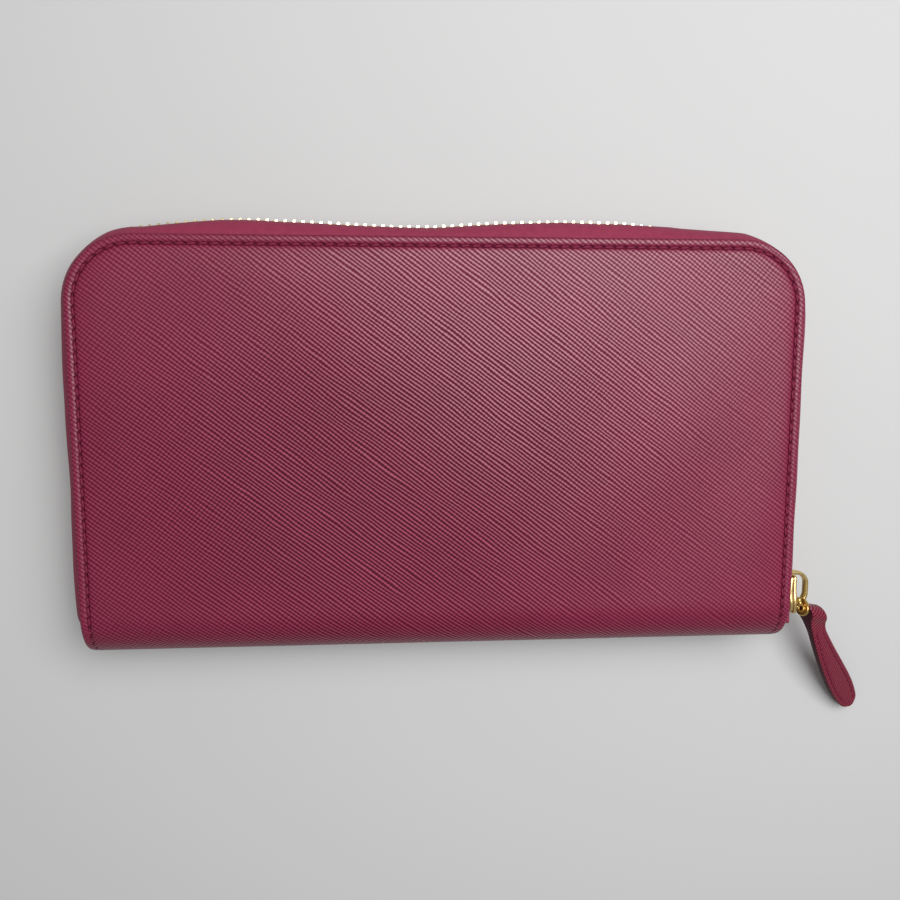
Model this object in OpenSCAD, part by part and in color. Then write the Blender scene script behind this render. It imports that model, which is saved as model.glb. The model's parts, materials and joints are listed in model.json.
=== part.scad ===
// Continental zip-around wallet, lying on its rear cover with the zip closed.
// +X runs along the spine, +Y from the spine to the far zip edge, +Z from the rear cover to the front.
// The origin is the middle of the rear cover's outer face. Millimetres.

/* [Covers] */
// Length of a cover, along the spine
cover_w = 190; // [180:1:200]
// Depth of a cover, from the back of the spine to the far edge
cover_h = 110; // [104:1:114]
// Thickness of the closed wallet
wallet_t = 25; // [25:0.5:28]
// Radius of the two corners that the zip runs round
corner_r = 17; // [14:1:20]
// Radius of the leather's corners at the spine
spine_corner_r = 6; // [4:0.5:8]
// Thickness of the outer leather
leather_t = 1.2; // [1:0.1:1.4]
// Thickness of the stiffening board
board_t = 0.6; // [0.4:0.1:0.6]
// Thickness of the lining
lining_t = 0.6; // [0.4:0.1:0.6]
// Distance of the stitch groove from the edge of the leather
stitch_inset = 1.9; // [1.5:0.1:3]
// Width of the stitch groove and its thread
stitch_w = 0.7; // [0.5:0.1:0.9]
// Depth of the stitch groove
stitch_depth = 0.3; // [0.2:0.05:0.4]

/* [Zip] */
// How far the tapes arch out past the covers' edges
zip_bulge = 3.6; // [3.4:0.1:4]
// Thickness of the tape
tape_t = 0.5; // [0.4:0.05:0.6]
// Distance between neighbouring teeth of one row
tooth_pitch = 2.3; // [2.2:0.05:2.6]
// Thickness of one tooth along the chain
tooth_t = 0.95; // [0.8:0.05:0.95]
// Width of the tape sewn inside the covers
tape_flange = 6; // [5:0.5:8]
// Distance from the back of the spine to the middle of the slider when the zip is closed
slider_home = 12; // [11.5:0.5:14]

/* [Slider and puller] */
// Length of the slider
slider_len = 11; // [10.5:0.5:11.5]
// Width of the slider at its nose
slider_w = 9; // [8.8:0.1:9.2]
// Height of the bridge above the slider
bridge_h = 4.6; // [4.5:0.1:5]
// Length of the leather pull, from its pin to its tip
pull_len = 39; // [36:0.5:39]
// Greatest width of the leather pull
pull_w = 7.7; // [7:0.1:8.4]
// Thickness of the leather pull
pull_t = 2.6; // [2.2:0.1:2.8]
// Slope of the pull down to the table, in degrees
pull_slope = 15; // [14:0.5:15]

/* [Inside] */
// Number of card pockets stepped up each cover
card_rows = 4; // [3:1:4]
// Thickness of one card pocket's leather
pocket_t = 0.45; // [0.4:0.05:0.45]
// Height that each card pocket steps down from the one behind
pocket_step = 12; // [10:1:13]
// Length of the card pockets
pocket_w = 164; // [160:1:168]
// Thickness of the coin pocket
coin_t = 4.4; // [4.2:0.1:4.6]
// Thickness of the coin pocket's walls
coin_wall = 0.8; // [0.6:0.1:0.9]
// Distance between neighbouring teeth of the coin zip
coin_pitch = 2; // [1.9:0.1:2.2]
// Depth of a gusset's fold
gusset_fold = 12; // [10:1:14]

/* [Hidden] */
$fn = 64;

leather_red = [0.52, 0.13, 0.22];
lining_red = [0.46, 0.12, 0.19];
thread_red = [0.42, 0.09, 0.16];
tape_red = [0.55, 0.14, 0.24];
board_grey = [0.62, 0.58, 0.52];
gold = [0.83, 0.68, 0.33];

// heights and lines
mid_z = wallet_t / 2;
spine_r = wallet_t / 2;
spine_y = -cover_h / 2 + spine_r;           // axis that the spine curls round
side_top = cover_h / 2 - corner_r;          // where a side meets its corner
lining_z = leather_t + board_t;
inner_z = lining_z + lining_t;              // face of the lining inside a cover

// inside leaves
leaf_y0 = spine_y + 2.5;                    // where the leaves start at the spine
panel_top = 46;
panel_w = 178;
panel_t = 0.6;
panel_z = inner_z + 0.6;                    // a slip pocket lies between lining and panel
pockets_z = panel_z + panel_t;
pockets_top = pockets_z + card_rows * pocket_t;
first_pocket_y = 38;
coin_top = 42;
coin_w = 174;
coin_z = mid_z - coin_t / 2;
gusset_x = 88.4;
gusset_t = 0.4;
gusset_y1 = 38;

// zip
tooth_half = 1.1;
tape_edge = 1.5;                            // gap from the middle to the tape's edge
tape_straight = 5.6;                        // flat part of the tape beside the chain
chain_x = cover_w / 2 + zip_bulge;
tape_end_y = -50;
slider_y = -cover_h / 2 + slider_home;
first_tooth_y = slider_y + 0.8;
last_tooth_y = -46;
path_r = corner_r + zip_bulge;
side_len = side_top - first_tooth_y;
arc_len = path_r * PI / 2;
top_len = cover_w - 2 * corner_r;
left_len = side_top - last_tooth_y;
path_len = side_len + 2 * arc_len + top_len + left_len;
tooth_count = floor(path_len / tooth_pitch) - 1;

// slider
channel = 1.35;                             // half the slider's inside height
plate_t = 1;
slit = 0.5;                                 // half the slit that the tape runs in
plate_u = channel + plate_t;                // outer face of the slider, from the chain
bridge_round = 3.8;
bridge_wire = 1.1;
bridge_half = 1.2;
bridge_len = 10.4;
bridge_y = slider_y + 1;

// link and pull
pivot = [chain_x + plate_u + 1.8, bridge_y - 3.1, mid_z];
eye = [chain_x + 5.45, slider_y - 6.4, mid_z + 1.8];
pin_turn = -3.3;                            // direction of the pin in plan
pin_dip = 29.3;                             // its slope down, away from the slider
pin_way = [cos(pin_dip) * cos(pin_turn), cos(pin_dip) * sin(pin_turn), -sin(pin_dip)];
loop_half = 3.4;
loop_r = 3.1;
pin_r = 0.9;
pull_at = eye + pin_way * 4.2;
pull_turn = -59.6;
pull_roll = -18;
pull_edge = [[0, 2.6], [0.15, 2.75], [0.4, 3.3], [0.62, 3.8], [0.78, 3.85], [0.89, 3.4], [0.965, 2.3], [1, 1.1]];

// coin zip
coin_chain_y = coin_top + 4.2;
coin_slider_x = 70;
coin_row = 76;                              // half the length of the coin zip's rows
coin_slider_len = 6.6;

// ---- shapes that repeat ----

// Outline of a cover from the spine's axis to the far edge
module cover_outline(inset = 0) {
    translate([-cover_w / 2 + inset, spine_y])
        square([cover_w - 2 * inset, side_top - spine_y]);
    translate([-cover_w / 2 + corner_r, spine_y])
        square([cover_w - 2 * corner_r, cover_h / 2 - inset - spine_y]);
    for (side = [-1, 1])
        translate([side * (cover_w / 2 - corner_r), side_top]) circle(r = corner_r - inset);
}

// Outline that the spine's leather is cut to, with rounded ends
module spine_outline(inset = 0) {
    x = cover_w / 2 - inset;
    y = -cover_h / 2;
    translate([-x, y + spine_corner_r]) square([2 * x, spine_y - y - spine_corner_r]);
    translate([-x + spine_corner_r, y - 1]) square([2 * (x - spine_corner_r), spine_y - y + 1]);
    for (side = [-1, 1])
        translate([side * (x - spine_corner_r), y + spine_corner_r]) circle(r = spine_corner_r);
}

// Half shell that curls round the spine's axis from the rear cover to the front
module spine_shell(r_out, r_in, inset) {
    intersection() {
        translate([-cover_w / 2, spine_y, mid_z])
            rotate([0, 90, 0])
                difference() {
                    cylinder(r = r_out, h = cover_w);
                    translate([0, 0, -1]) cylinder(r = r_in, h = cover_w + 2);
                    translate([-r_out - 1, 0, -2]) cube([2 * r_out + 2, r_out + 1, cover_w + 4]);
                }
        linear_extrude(wallet_t) spine_outline(inset);
    }
}

// The thread's path, a band along the three stitched sides
module stitch_band() {
    difference() {
        cover_outline(stitch_inset);
        cover_outline(stitch_inset + stitch_w);
        translate([-cover_w, spine_y - 1]) square([2 * cover_w, 1.6]);
    }
}

// Sheet for an inside leaf, with its far corners rounded
module leaf(w, top, t, r = 10) {
    linear_extrude(t) {
        translate([-w / 2, leaf_y0]) square([w, top - r - leaf_y0]);
        translate([-w / 2 + r, leaf_y0]) square([w - 2 * r, top - leaf_y0]);
        for (side = [-1, 1])
            translate([side * (w / 2 - r), top - r]) circle(r = r);
    }
}

// Carries a shape on the rear half over to the front half
module to_front() {
    translate([0, 0, wallet_t]) mirror([0, 0, 1]) children();
}

// Straight round rod between two points
module rod(a, b, r) {
    d = b - a;
    translate(a)
        rotate([0, acos(d[2] / norm(d)), atan2(d[1], d[0])])
            cylinder(r = r, h = norm(d), $fn = 32);
}

// Outline of a ribbon of thickness t along centre-line points
function ribbon_side(p, t) = [
    for (i = [0 : len(p) - 1])
        let (a = p[max(i - 1, 0)], b = p[min(i + 1, len(p) - 1)], d = (b - a) / norm(b - a))
            p[i] + t / 2 * [-d[1], d[0]]
];
function reversed(p) = [for (i = [len(p) - 1 : -1 : 0]) p[i]];
function ribbon(p, t) = concat(ribbon_side(p, t), reversed(ribbon_side(p, -t)));

// Sweeps a profile, drawn as [outward, up] from the covers' edge, along the three zipped sides
module round_three_sides(y_start) {
    for (side = [0, 1])
        mirror([side, 0, 0]) {
            translate([cover_w / 2, side_top, 0])
                rotate([90, 0, 0]) linear_extrude(side_top - y_start) children();
            translate([cover_w / 2 - corner_r, side_top, 0])
                rotate_extrude(angle = 90) translate([corner_r, 0]) children();
        }
    translate([-cover_w / 2 + corner_r, cover_h / 2, 0])
        rotate([90, 0, 90]) linear_extrude(top_len) children();
}

// Puts a shape at distance s along the zip, its +X facing outward and its +Y along the zip
module at_path(s) {
    if (s < side_len) {
        translate([chain_x, first_tooth_y + s, 0]) children();
    } else if (s < side_len + arc_len) {
        turn = (s - side_len) / path_r * 180 / PI;
        translate([cover_w / 2 - corner_r, side_top, 0])
            rotate([0, 0, turn]) translate([path_r, 0, 0]) children();
    } else if (s < side_len + arc_len + top_len) {
        translate([cover_w / 2 - corner_r - (s - side_len - arc_len), side_top + path_r, 0])
            rotate([0, 0, 90]) children();
    } else if (s < side_len + 2 * arc_len + top_len) {
        turn = (s - side_len - arc_len - top_len) / path_r * 180 / PI;
        translate([-cover_w / 2 + corner_r, side_top, 0])
            rotate([0, 0, 90 + turn]) translate([path_r, 0, 0]) children();
    } else {
        translate([-chain_x, side_top - (s - side_len - 2 * arc_len - top_len), 0])
            rotate([0, 0, 180]) children();
    }
}

// ---- covers ----

module cover_leather() {
    difference() {
        linear_extrude(leather_t) cover_outline();
        translate([0, 0, -1]) linear_extrude(1 + stitch_depth) stitch_band();
    }
}

module cover_stitching() {
    linear_extrude(stitch_depth) stitch_band();
}

module cover_board() {
    translate([0, 0, leather_t]) linear_extrude(board_t) cover_outline(tape_flange + 1);
}

module cover_lining() {
    translate([0, 0, lining_z]) linear_extrude(lining_t) cover_outline(0.8);
}

module rear_outer_leather() {
    color(leather_red) cover_leather();
}

module rear_board() {
    color(board_grey) cover_board();
}

module rear_lining() {
    color(lining_red) cover_lining();
}

module rear_stitching() {
    color(thread_red) cover_stitching();
}

module front_outer_leather() {
    color(leather_red) to_front() cover_leather();
}

module front_board() {
    color(board_grey) to_front() cover_board();
}

module front_lining() {
    color(lining_red) to_front() cover_lining();
}

module front_stitching() {
    color(thread_red) to_front() cover_stitching();
}

// ---- spine ----

module spine_leather() {
    color(leather_red) spine_shell(spine_r, spine_r - leather_t, 0);
}

module spine_lining() {
    color(lining_red) spine_shell(spine_r - lining_z, spine_r - inner_z, 1.5);
}

module accordion_base() {
    color(lining_red)
        translate([-coin_w / 2, leaf_y0 - 0.6, panel_z])
            cube([coin_w, 0.5, wallet_t - 2 * panel_z]);
}

// ---- card pockets ----

module card_panel() {
    translate([0, 0, panel_z]) leaf(panel_w, panel_top, panel_t);
}

module card_pocket(row) {
    top = first_pocket_y - (row - 1) * pocket_step;
    translate([-pocket_w / 2, leaf_y0 + 1, pockets_z + (row - 1) * pocket_t])
        cube([pocket_w, top - leaf_y0 - 1, pocket_t]);
}

// Thread down the middle of the pockets, which parts them into two columns of cards
module pocket_stitching() {
    top = first_pocket_y - (card_rows - 1) * pocket_step;
    translate([-0.3, leaf_y0 + 2, pockets_top]) cube([0.6, top - leaf_y0 - 3, 0.2]);
}

module rear_card_panel() {
    color(lining_red) card_panel();
}

module rear_card_pocket_1() {
    color(leather_red) card_pocket(1);
}

module rear_card_pocket_2() {
    color(leather_red) card_pocket(2);
}

module rear_card_pocket_3() {
    color(leather_red) card_pocket(3);
}

module rear_card_pocket_4() {
    color(leather_red) card_pocket(4);
}

module rear_pocket_stitching() {
    color(thread_red) pocket_stitching();
}

module front_card_panel() {
    color(lining_red) to_front() card_panel();
}

module front_card_pocket_1() {
    color(leather_red) to_front() card_pocket(1);
}

module front_card_pocket_2() {
    color(leather_red) to_front() card_pocket(2);
}

module front_card_pocket_3() {
    color(leather_red) to_front() card_pocket(3);
}

module front_card_pocket_4() {
    color(leather_red) to_front() card_pocket(4);
}

module front_pocket_stitching() {
    color(thread_red) to_front() pocket_stitching();
}

// ---- gussets ----

// Folded from the card panel in to the crease and back to the coin pocket
module gusset() {
    crease = [gusset_x - gusset_fold, coin_z - 1.15];
    translate([0, gusset_y1, 0])
        rotate([90, 0, 0]) linear_extrude(gusset_y1 - leaf_y0 - 0.2) {
            polygon(ribbon([
                [gusset_x, pockets_z + 0.22], [gusset_x - 0.32 * gusset_fold, pockets_top + 0.9], crease
            ], gusset_t));
            polygon(ribbon([
                crease, [gusset_x - 0.5 * gusset_fold, coin_z - 0.7], [gusset_x, coin_z - 0.32]
            ], gusset_t));
        }
}

module gusset_right_rear() {
    color(lining_red) gusset();
}

module gusset_left_rear() {
    color(lining_red) mirror([1, 0, 0]) gusset();
}

module gusset_right_front() {
    color(lining_red) to_front() gusset();
}

module gusset_left_front() {
    color(lining_red) mirror([1, 0, 0]) to_front() gusset();
}

// ---- zip round the covers ----

module tape_profile() {
    z = leather_t + tape_t / 2;
    out = zip_bulge;
    polygon(ribbon([
        [-tape_flange, z], [-0.4, z], [out - 2.3, z + 0.5], [out - 0.95, z + 1.9],
        [out - 0.2, z + 3.9], [out, mid_z - tape_straight], [out, mid_z - tape_edge]
    ], tape_t));
}

module half_tape() {
    round_three_sides(spine_y) tape_profile();
    for (side = [-1, 1])
        translate([side * chain_x - tape_t / 2, tape_end_y, mid_z - tape_straight])
            cube([tape_t, spine_y - tape_end_y, tape_straight - tape_edge]);
}

// Section of a tooth: two legs over the tape's edge and a head past the middle
module tooth_profile() {
    leg = tape_t / 2;
    polygon([
        [-tooth_half, mid_z - 2.8], [-leg, mid_z - 2.8], [-leg, mid_z - tape_edge],
        [leg, mid_z - tape_edge], [leg, mid_z - 2.8], [tooth_half, mid_z - 2.8],
        [tooth_half, mid_z + 0.2], [tooth_half - 0.4, mid_z + 0.85],
        [-tooth_half + 0.4, mid_z + 0.85], [-tooth_half, mid_z + 0.2]
    ]);
}

module tooth_row(shift) {
    for (i = [0 : tooth_count])
        at_path(i * tooth_pitch + shift)
            translate([0, tooth_t / 2, 0]) rotate([90, 0, 0]) linear_extrude(tooth_t) tooth_profile();
}

// Metal stop clinched on one tape beside the slider's nose
module top_stop() {
    translate([chain_x, tape_end_y, 0])
        difference() {
            translate([-tooth_half, 0, mid_z - 3.1]) cube([2 * tooth_half, 1.3, 2]);
            translate([-tape_t / 2, -1, mid_z - 4]) cube([tape_t, 4, 4 - tape_edge]);
        }
}

module zip_tape_rear() {
    color(tape_red) half_tape();
}

module zip_teeth_rear() {
    color(gold) tooth_row(tooth_t / 2);
}

module zip_top_stop_rear() {
    color(gold) top_stop();
}

// Metal box that holds both rows together at the far end
module zip_bottom_stop() {
    color(gold)
        translate([-chain_x, last_tooth_y - 3.2, 0])
            difference() {
                translate([-1.3, 0, mid_z - 2.6]) cube([2.6, 2, 5.2]);
                for (side = [-1, 1])
                    translate([-tape_t / 2, -1, mid_z + side * 3.5 - 2]) cube([tape_t, 4, 4]);
            }
}

// Leather tab that closes the tapes' ends at the spine
module end_tab() {
    translate([-chain_x, 0, mid_z - 6])
        linear_extrude(5.8)
            polygon([
                [4.6, -51], [4.6, -53.1], [3.2, -53.4], [0.9, -52.7], [-0.5, -51.6],
                [-0.9, -50.6], [-0.9, -50], [-0.25, -50], [-0.25, -51]
            ]);
}

module zip_end_tab_left() {
    color(leather_red) end_tab();
}

module zip_end_tab_right() {
    color(leather_red) mirror([1, 0, 0]) end_tab();
}

module zip_tape_front() {
    color(tape_red) to_front() half_tape();
}

module zip_teeth_front() {
    color(gold) to_front() tooth_row(tooth_t / 2 + tooth_pitch / 2);
}

module zip_top_stop_front() {
    color(gold) to_front() top_stop();
}

// ---- coin pocket in the middle ----

module coin_wall_sheet() {
    translate([0, 0, coin_z]) leaf(coin_w, coin_top, coin_wall, 3);
}

module coin_rear_wall() {
    color(leather_red) coin_wall_sheet();
}

module coin_front_wall() {
    color(leather_red) to_front() coin_wall_sheet();
}

// Strip that joins the two walls along both sides and the spine
module coin_band() {
    color(lining_red)
        translate([0, 0, coin_z + coin_wall])
            linear_extrude(coin_t - 2 * coin_wall) {
                translate([-coin_w / 2, leaf_y0]) square([coin_w, 1.2]);
                for (side = [-1, 1])
                    translate([side * (coin_w / 2 - 0.6) - 0.6, leaf_y0])
                        square([1.2, coin_top - 3 - leaf_y0]);
            }
}

module coin_half_tape() {
    translate([-coin_row - 4, coin_top - 3.5, coin_z - 0.4])
        cube([2 * coin_row + 8, coin_chain_y + 0.2 - coin_top + 3.5, 0.4]);
    translate([-coin_row - 4, coin_chain_y - 0.2, coin_z])
        cube([2 * coin_row + 8, 0.4, mid_z - 0.6 - coin_z]);
}

module coin_tooth_row(shift) {
    for (x = [-coin_row : coin_pitch : coin_slider_x - 2])
        translate([x + shift, coin_chain_y - 0.7, mid_z - 0.6]) cube([0.8, 1.4, 1.05]);
}

module coin_tape_rear() {
    color(tape_red) coin_half_tape();
}

module coin_tape_front() {
    color(tape_red) to_front() coin_half_tape();
}

module coin_teeth_rear() {
    color(gold) coin_tooth_row(0);
}

module coin_teeth_front() {
    color(gold) to_front() coin_tooth_row(coin_pitch / 2);
}

module coin_zip_stops() {
    color(gold)
        for (x = [-coin_row - 2.4, coin_row + 0.6])
            translate([x, coin_chain_y - 1.2, mid_z - 0.6]) cube([1.4, 2.4, 1.2]);
}

// ---- slider of the outer zip ----

// Plan of the slider, its length along Y and its width along X
module slider_plan(wide) {
    h = slider_len / 2;
    n = slider_w / 2 + wide;
    t = n - 0.6;
    polygon([
        [-n + 1.3, -h], [n - 1.3, -h], [n - 0.35, -h + 0.35], [n, -h + 1.2], [n, -h + 4], [t, -h + 6.5],
        [t, h - 0.9], [t - 0.3, h - 0.3], [t - 0.9, h], [-t + 0.9, h], [-t + 0.3, h - 0.3],
        [-t, h - 0.9], [-t, -h + 6.5], [-n, -h + 4], [-n, -h + 1.2], [-n + 0.35, -h + 0.35]
    ]);
}

// Turns a plan drawn over X and Y so that its X lies along the wallet's thickness
module on_side(u, t) {
    translate([chain_x + u, slider_y, mid_z])
        rotate([0, 90, 0]) linear_extrude(t) children();
}

module slider_body() {
    color(gold) {
        on_side(channel, plate_t) slider_plan(0);
        on_side(-channel - plate_t, plate_t) slider_plan(0);
        on_side(-channel, 2 * channel)
            polygon([[-0.9, -5.4], [0.9, -5.4], [0.9, -4.2], [0, -2.4], [-0.9, -4.2]]);
        for (u = [slit, -channel])
            on_side(u, channel - slit)
                difference() {
                    slider_plan(0);
                    translate([-3.3, -slider_len]) square([6.6, 2 * slider_len]);
                }
    }
}

// D-shaped outline of the bridge, its foot on X = 0
module bridge_outline(h, long, r) {
    translate([-1, -long / 2]) square([h - r + 1, long]);
    translate([0, -long / 2 + r]) square([h, long - 2 * r]);
    for (side = [-1, 1])
        translate([h - r, side * (long / 2 - r)]) circle(r = r);
}

module slider_bridge() {
    w = bridge_wire;
    color(gold)
        translate([chain_x + plate_u, bridge_y, mid_z - bridge_half])
            linear_extrude(2 * bridge_half)
                intersection() {
                    difference() {
                        bridge_outline(bridge_h, bridge_len, bridge_round);
                        bridge_outline(bridge_h - w, bridge_len - 2 * w, bridge_round - w);
                    }
                    translate([0, -bridge_len]) square([bridge_h + 1, 2 * bridge_len]);
                }
}

// ---- link and leather pull ----

// Turns a shape so that its Z lies along the pin
module along_pin(at) {
    translate(at) rotate([0, 0, pin_turn]) rotate([0, 90 + pin_dip, 0]) children();
}

module pull_link() {
    top = pivot + [0, 0, 1.9];
    low = pivot - [0, 0, 1.9];
    elbow = [pivot[0] - 0.1, pivot[1] - 3.3, low[2]];
    color(gold) {
        rod(low, top, 0.6);
        translate(top) sphere(r = 0.68, $fn = 32);
        translate(low) sphere(r = 0.68, $fn = 32);
        rod(top, eye + [-0.5, 0.9, 0], 0.55);
        rod(low, elbow, 0.55);
        translate(elbow) sphere(r = 0.68, $fn = 32);
        rod(elbow, eye + [-0.9, 0, -1.2], 0.55);
        difference() {
            union() {
                along_pin(eye - pin_way * 0.6) cylinder(r = 2, h = 1.2);
                along_pin(eye - pin_way * 1) cylinder(r = 1.2, h = 1);
            }
            along_pin(eye - pin_way * 2) cylinder(r = 0.55, h = 1.6);
        }
    }
}

// Pin that the leather is wrapped round, with a flat head at its far end
module pull_pin() {
    color(gold) {
        along_pin(eye + pin_way * 0.6) cylinder(r = pin_r, h = 7.2);
        along_pin(eye + pin_way * 7.8) cylinder(r = 1.8, h = 0.6);
    }
}

module pull_loop() {
    color(leather_red)
        along_pin(pull_at - pin_way * loop_half)
            difference() {
                cylinder(r = loop_r, h = 2 * loop_half);
                translate([0, 0, -1]) cylinder(r = pin_r + 0.08, h = 2 * loop_half + 2);
            }
}

// Outline of the pull, its length along X
function pull_points() = [
    for (p = pull_edge) [1.5 + p[0] * (pull_len - 1.5), (p[1] / 3.85) * pull_w / 2]
];

module pull_shape() {
    edge = pull_points();
    polygon(concat(edge, [for (p = reversed(edge)) [p[0], -p[1]]]));
}

module pull_layer(z0, z1) {
    translate(pull_at)
        rotate([0, 0, pull_turn]) rotate([0, pull_slope, 0]) rotate([pull_roll, 0, 0])
            translate([0, 0, z0]) linear_extrude(z1 - z0) children();
}

module loop_space() {
    along_pin(pull_at - pin_way * (loop_half + 1)) cylinder(r = loop_r, h = 2 * loop_half + 2);
}

module pull_stitch_band() {
    difference() {
        translate([6, -pull_w / 2 + 1.5]) square([pull_len - 12, pull_w - 3]);
        translate([5, -pull_w / 2 + 2]) square([pull_len - 11.5, pull_w - 4]);
    }
}

module pull_face_leather() {
    color(leather_red)
        difference() {
            pull_layer(0, pull_t / 2) pull_shape();
            pull_layer(pull_t / 2 - 0.25, pull_t / 2 + 1) pull_stitch_band();
            loop_space();
        }
}

module pull_back_leather() {
    color(leather_red)
        difference() {
            pull_layer(-pull_t / 2, 0) pull_shape();
            loop_space();
        }
}

module pull_stitching() {
    color(thread_red)
        pull_layer(pull_t / 2 - 0.25, pull_t / 2) pull_stitch_band();
}

// ---- slider of the coin zip ----

module coin_slider_body() {
    h = coin_slider_len / 2;
    color(gold)
        translate([coin_slider_x, coin_chain_y, mid_z]) {
            for (y = [-1.6, 0.95])
                translate([-h, y, -2]) cube([2 * h, 0.65, 4]);
            for (z = [-2, 1.45])
                for (y = [-0.95, 0.3])
                    translate([-h, y, z]) cube([2 * h, 0.65, 0.55]);
            translate([h - 1.6, -0.95, -0.4]) cube([1.6, 1.9, 0.8]);
        }
}

module coin_slider_bridge() {
    color(gold)
        translate([coin_slider_x, coin_chain_y + 1.6, mid_z])
            difference() {
                translate([-2.6, 0, -0.6]) cube([5.2, 2.3, 1.2]);
                translate([-1.9, -1, -1]) cube([3.8, 2.6, 2]);
            }
}

// Flat metal pull with an eye round the coin slider's bridge
module coin_pull() {
    y = coin_chain_y + 2.35;
    color(gold)
        translate([coin_slider_x, y, mid_z])
            difference() {
                union() {
                    translate([-12, -0.4, -1.7]) cube([13.6, 0.8, 3.4]);
                    translate([-12, 0.4, 0]) rotate([90, 0, 0]) cylinder(r = 1.7, h = 0.8);
                }
                translate([-3.3, -1, -0.75]) cube([4.2, 2, 1.5]);
            }
}

rear_outer_leather();
rear_board();
rear_lining();
rear_stitching();
spine_leather();
spine_lining();
rear_card_panel();
rear_card_pocket_1();
rear_card_pocket_2();
rear_card_pocket_3();
rear_card_pocket_4();
rear_pocket_stitching();
zip_tape_rear();
zip_teeth_rear();
zip_top_stop_rear();
zip_bottom_stop();
zip_end_tab_left();
zip_end_tab_right();
gusset_left_rear();
gusset_right_rear();
accordion_base();
front_outer_leather();
front_board();
front_lining();
front_stitching();
front_card_panel();
front_card_pocket_1();
front_card_pocket_2();
front_card_pocket_3();
front_card_pocket_4();
front_pocket_stitching();
zip_tape_front();
zip_teeth_front();
zip_top_stop_front();
gusset_left_front();
gusset_right_front();
coin_rear_wall();
coin_front_wall();
coin_band();
coin_tape_rear();
coin_tape_front();
coin_teeth_rear();
coin_teeth_front();
coin_zip_stops();
slider_body();
slider_bridge();
pull_link();
pull_pin();
pull_loop();
pull_face_leather();
pull_back_leather();
pull_stitching();
coin_slider_body();
coin_slider_bridge();
coin_pull();
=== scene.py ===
import json
import math
from functools import partial

import bmesh
import bpy
import numpy as np
from mathutils import Matrix, Vector

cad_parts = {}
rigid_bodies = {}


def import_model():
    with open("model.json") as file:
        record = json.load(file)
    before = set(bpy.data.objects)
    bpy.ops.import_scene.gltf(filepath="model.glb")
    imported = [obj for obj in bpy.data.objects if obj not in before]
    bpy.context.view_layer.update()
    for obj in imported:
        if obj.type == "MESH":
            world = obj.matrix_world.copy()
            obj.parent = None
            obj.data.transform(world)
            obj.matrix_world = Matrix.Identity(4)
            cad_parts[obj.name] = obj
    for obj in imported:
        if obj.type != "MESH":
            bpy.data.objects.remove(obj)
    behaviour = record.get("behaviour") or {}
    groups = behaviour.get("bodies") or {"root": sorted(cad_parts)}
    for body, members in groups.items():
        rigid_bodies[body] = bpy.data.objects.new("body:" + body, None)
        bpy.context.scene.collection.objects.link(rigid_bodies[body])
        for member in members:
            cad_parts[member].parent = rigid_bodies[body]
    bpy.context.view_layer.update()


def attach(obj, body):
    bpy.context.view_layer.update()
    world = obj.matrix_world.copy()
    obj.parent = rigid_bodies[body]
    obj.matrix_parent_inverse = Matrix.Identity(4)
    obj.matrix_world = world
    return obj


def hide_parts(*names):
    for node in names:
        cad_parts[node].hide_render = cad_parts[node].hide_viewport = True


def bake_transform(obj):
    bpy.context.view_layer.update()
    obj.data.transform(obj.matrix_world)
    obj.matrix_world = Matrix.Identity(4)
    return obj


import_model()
mm = 0.001

# sizes shared by several pieces, in millimetres
body = {
    "halfWidth": 95.0,
    "farEdge": 55.0,
    "spineAxisY": -42.5,
    "thick": 25.0,
    "cornerRadius": 17.0,
}
halfW, farY, axisY, fullT = body["halfWidth"], body["farEdge"], body["spineAxisY"], body["thick"]
cornerR = body["cornerRadius"]
midZ = fullT / 2
cornerX, cornerY = halfW - cornerR, farY - cornerR
rng = np.random.default_rng(7)


def addObject(name, data):
    obj = bpy.data.objects.new(name, data)
    bpy.context.scene.collection.objects.link(obj)
    return obj


def smoothFaces(mesh):
    mesh.polygons.foreach_set("use_smooth", np.full(len(mesh.polygons), True))


# Builds a mesh from millimetres, with its grain and seam coordinates and the material of each face.
def newObject(name, verts, faces, materials, uv, seam, faceMats):
    mesh = bpy.data.meshes.new(name)
    mesh.from_pydata((np.asarray(verts, float) * mm).tolist(), [], [list(map(int, f)) for f in faces])
    mesh.validate()
    obj = addObject(name, mesh)
    for m in materials:
        mesh.materials.append(m)
    loopVerts = np.zeros(len(mesh.loops), int)
    mesh.loops.foreach_get("vertex_index", loopVerts)
    for layer, data in (("UVMap", uv), ("Seam", seam)):
        uvLayer = mesh.uv_layers.new(name=layer)
        uvLayer.data.foreach_set("uv", np.asarray(data, np.float32)[loopVerts].ravel())
    mesh.polygons.foreach_set("material_index", np.asarray(faceMats, np.int32))
    smoothFaces(mesh)
    return obj


def gridFaces(nu, nv, closeU=False, closeV=False, flip=False):
    u = np.arange(nu if closeU else nu - 1)
    v = np.arange(nv if closeV else nv - 1)
    uu, vv = np.meshgrid(u, v, indexing="ij")
    u1, v1 = (uu + 1) % nu, (vv + 1) % nv
    quads = np.stack([uu * nv + vv, u1 * nv + vv, u1 * nv + v1, uu * nv + v1], -1).reshape(-1, 4)
    return quads[:, ::-1] if flip else quads


# The two faces that close a tube of n rings of m points.
def endFaces(n, m, turn=True):
    last = [(n - 1) * m + j for j in range(m)]
    return [list(range(m)), last[::-1] if turn else last]


# Distance along a line of points.
def runLength(points):
    return np.concatenate([[0], np.cumsum(np.linalg.norm(np.diff(points, axis=0), axis=1))])


# Values of each column at distance s.
def lookUp(s, run, columns):
    return np.stack([np.interp(s, run, columns[:, i]) for i in range(columns.shape[1])], -1)


# A line of n points through knots that are spaced evenly.
def resample(knots, n):
    knots = np.asarray(knots, float)
    return lookUp(np.linspace(0, 1, n), np.linspace(0, 1, len(knots)), knots)


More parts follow.
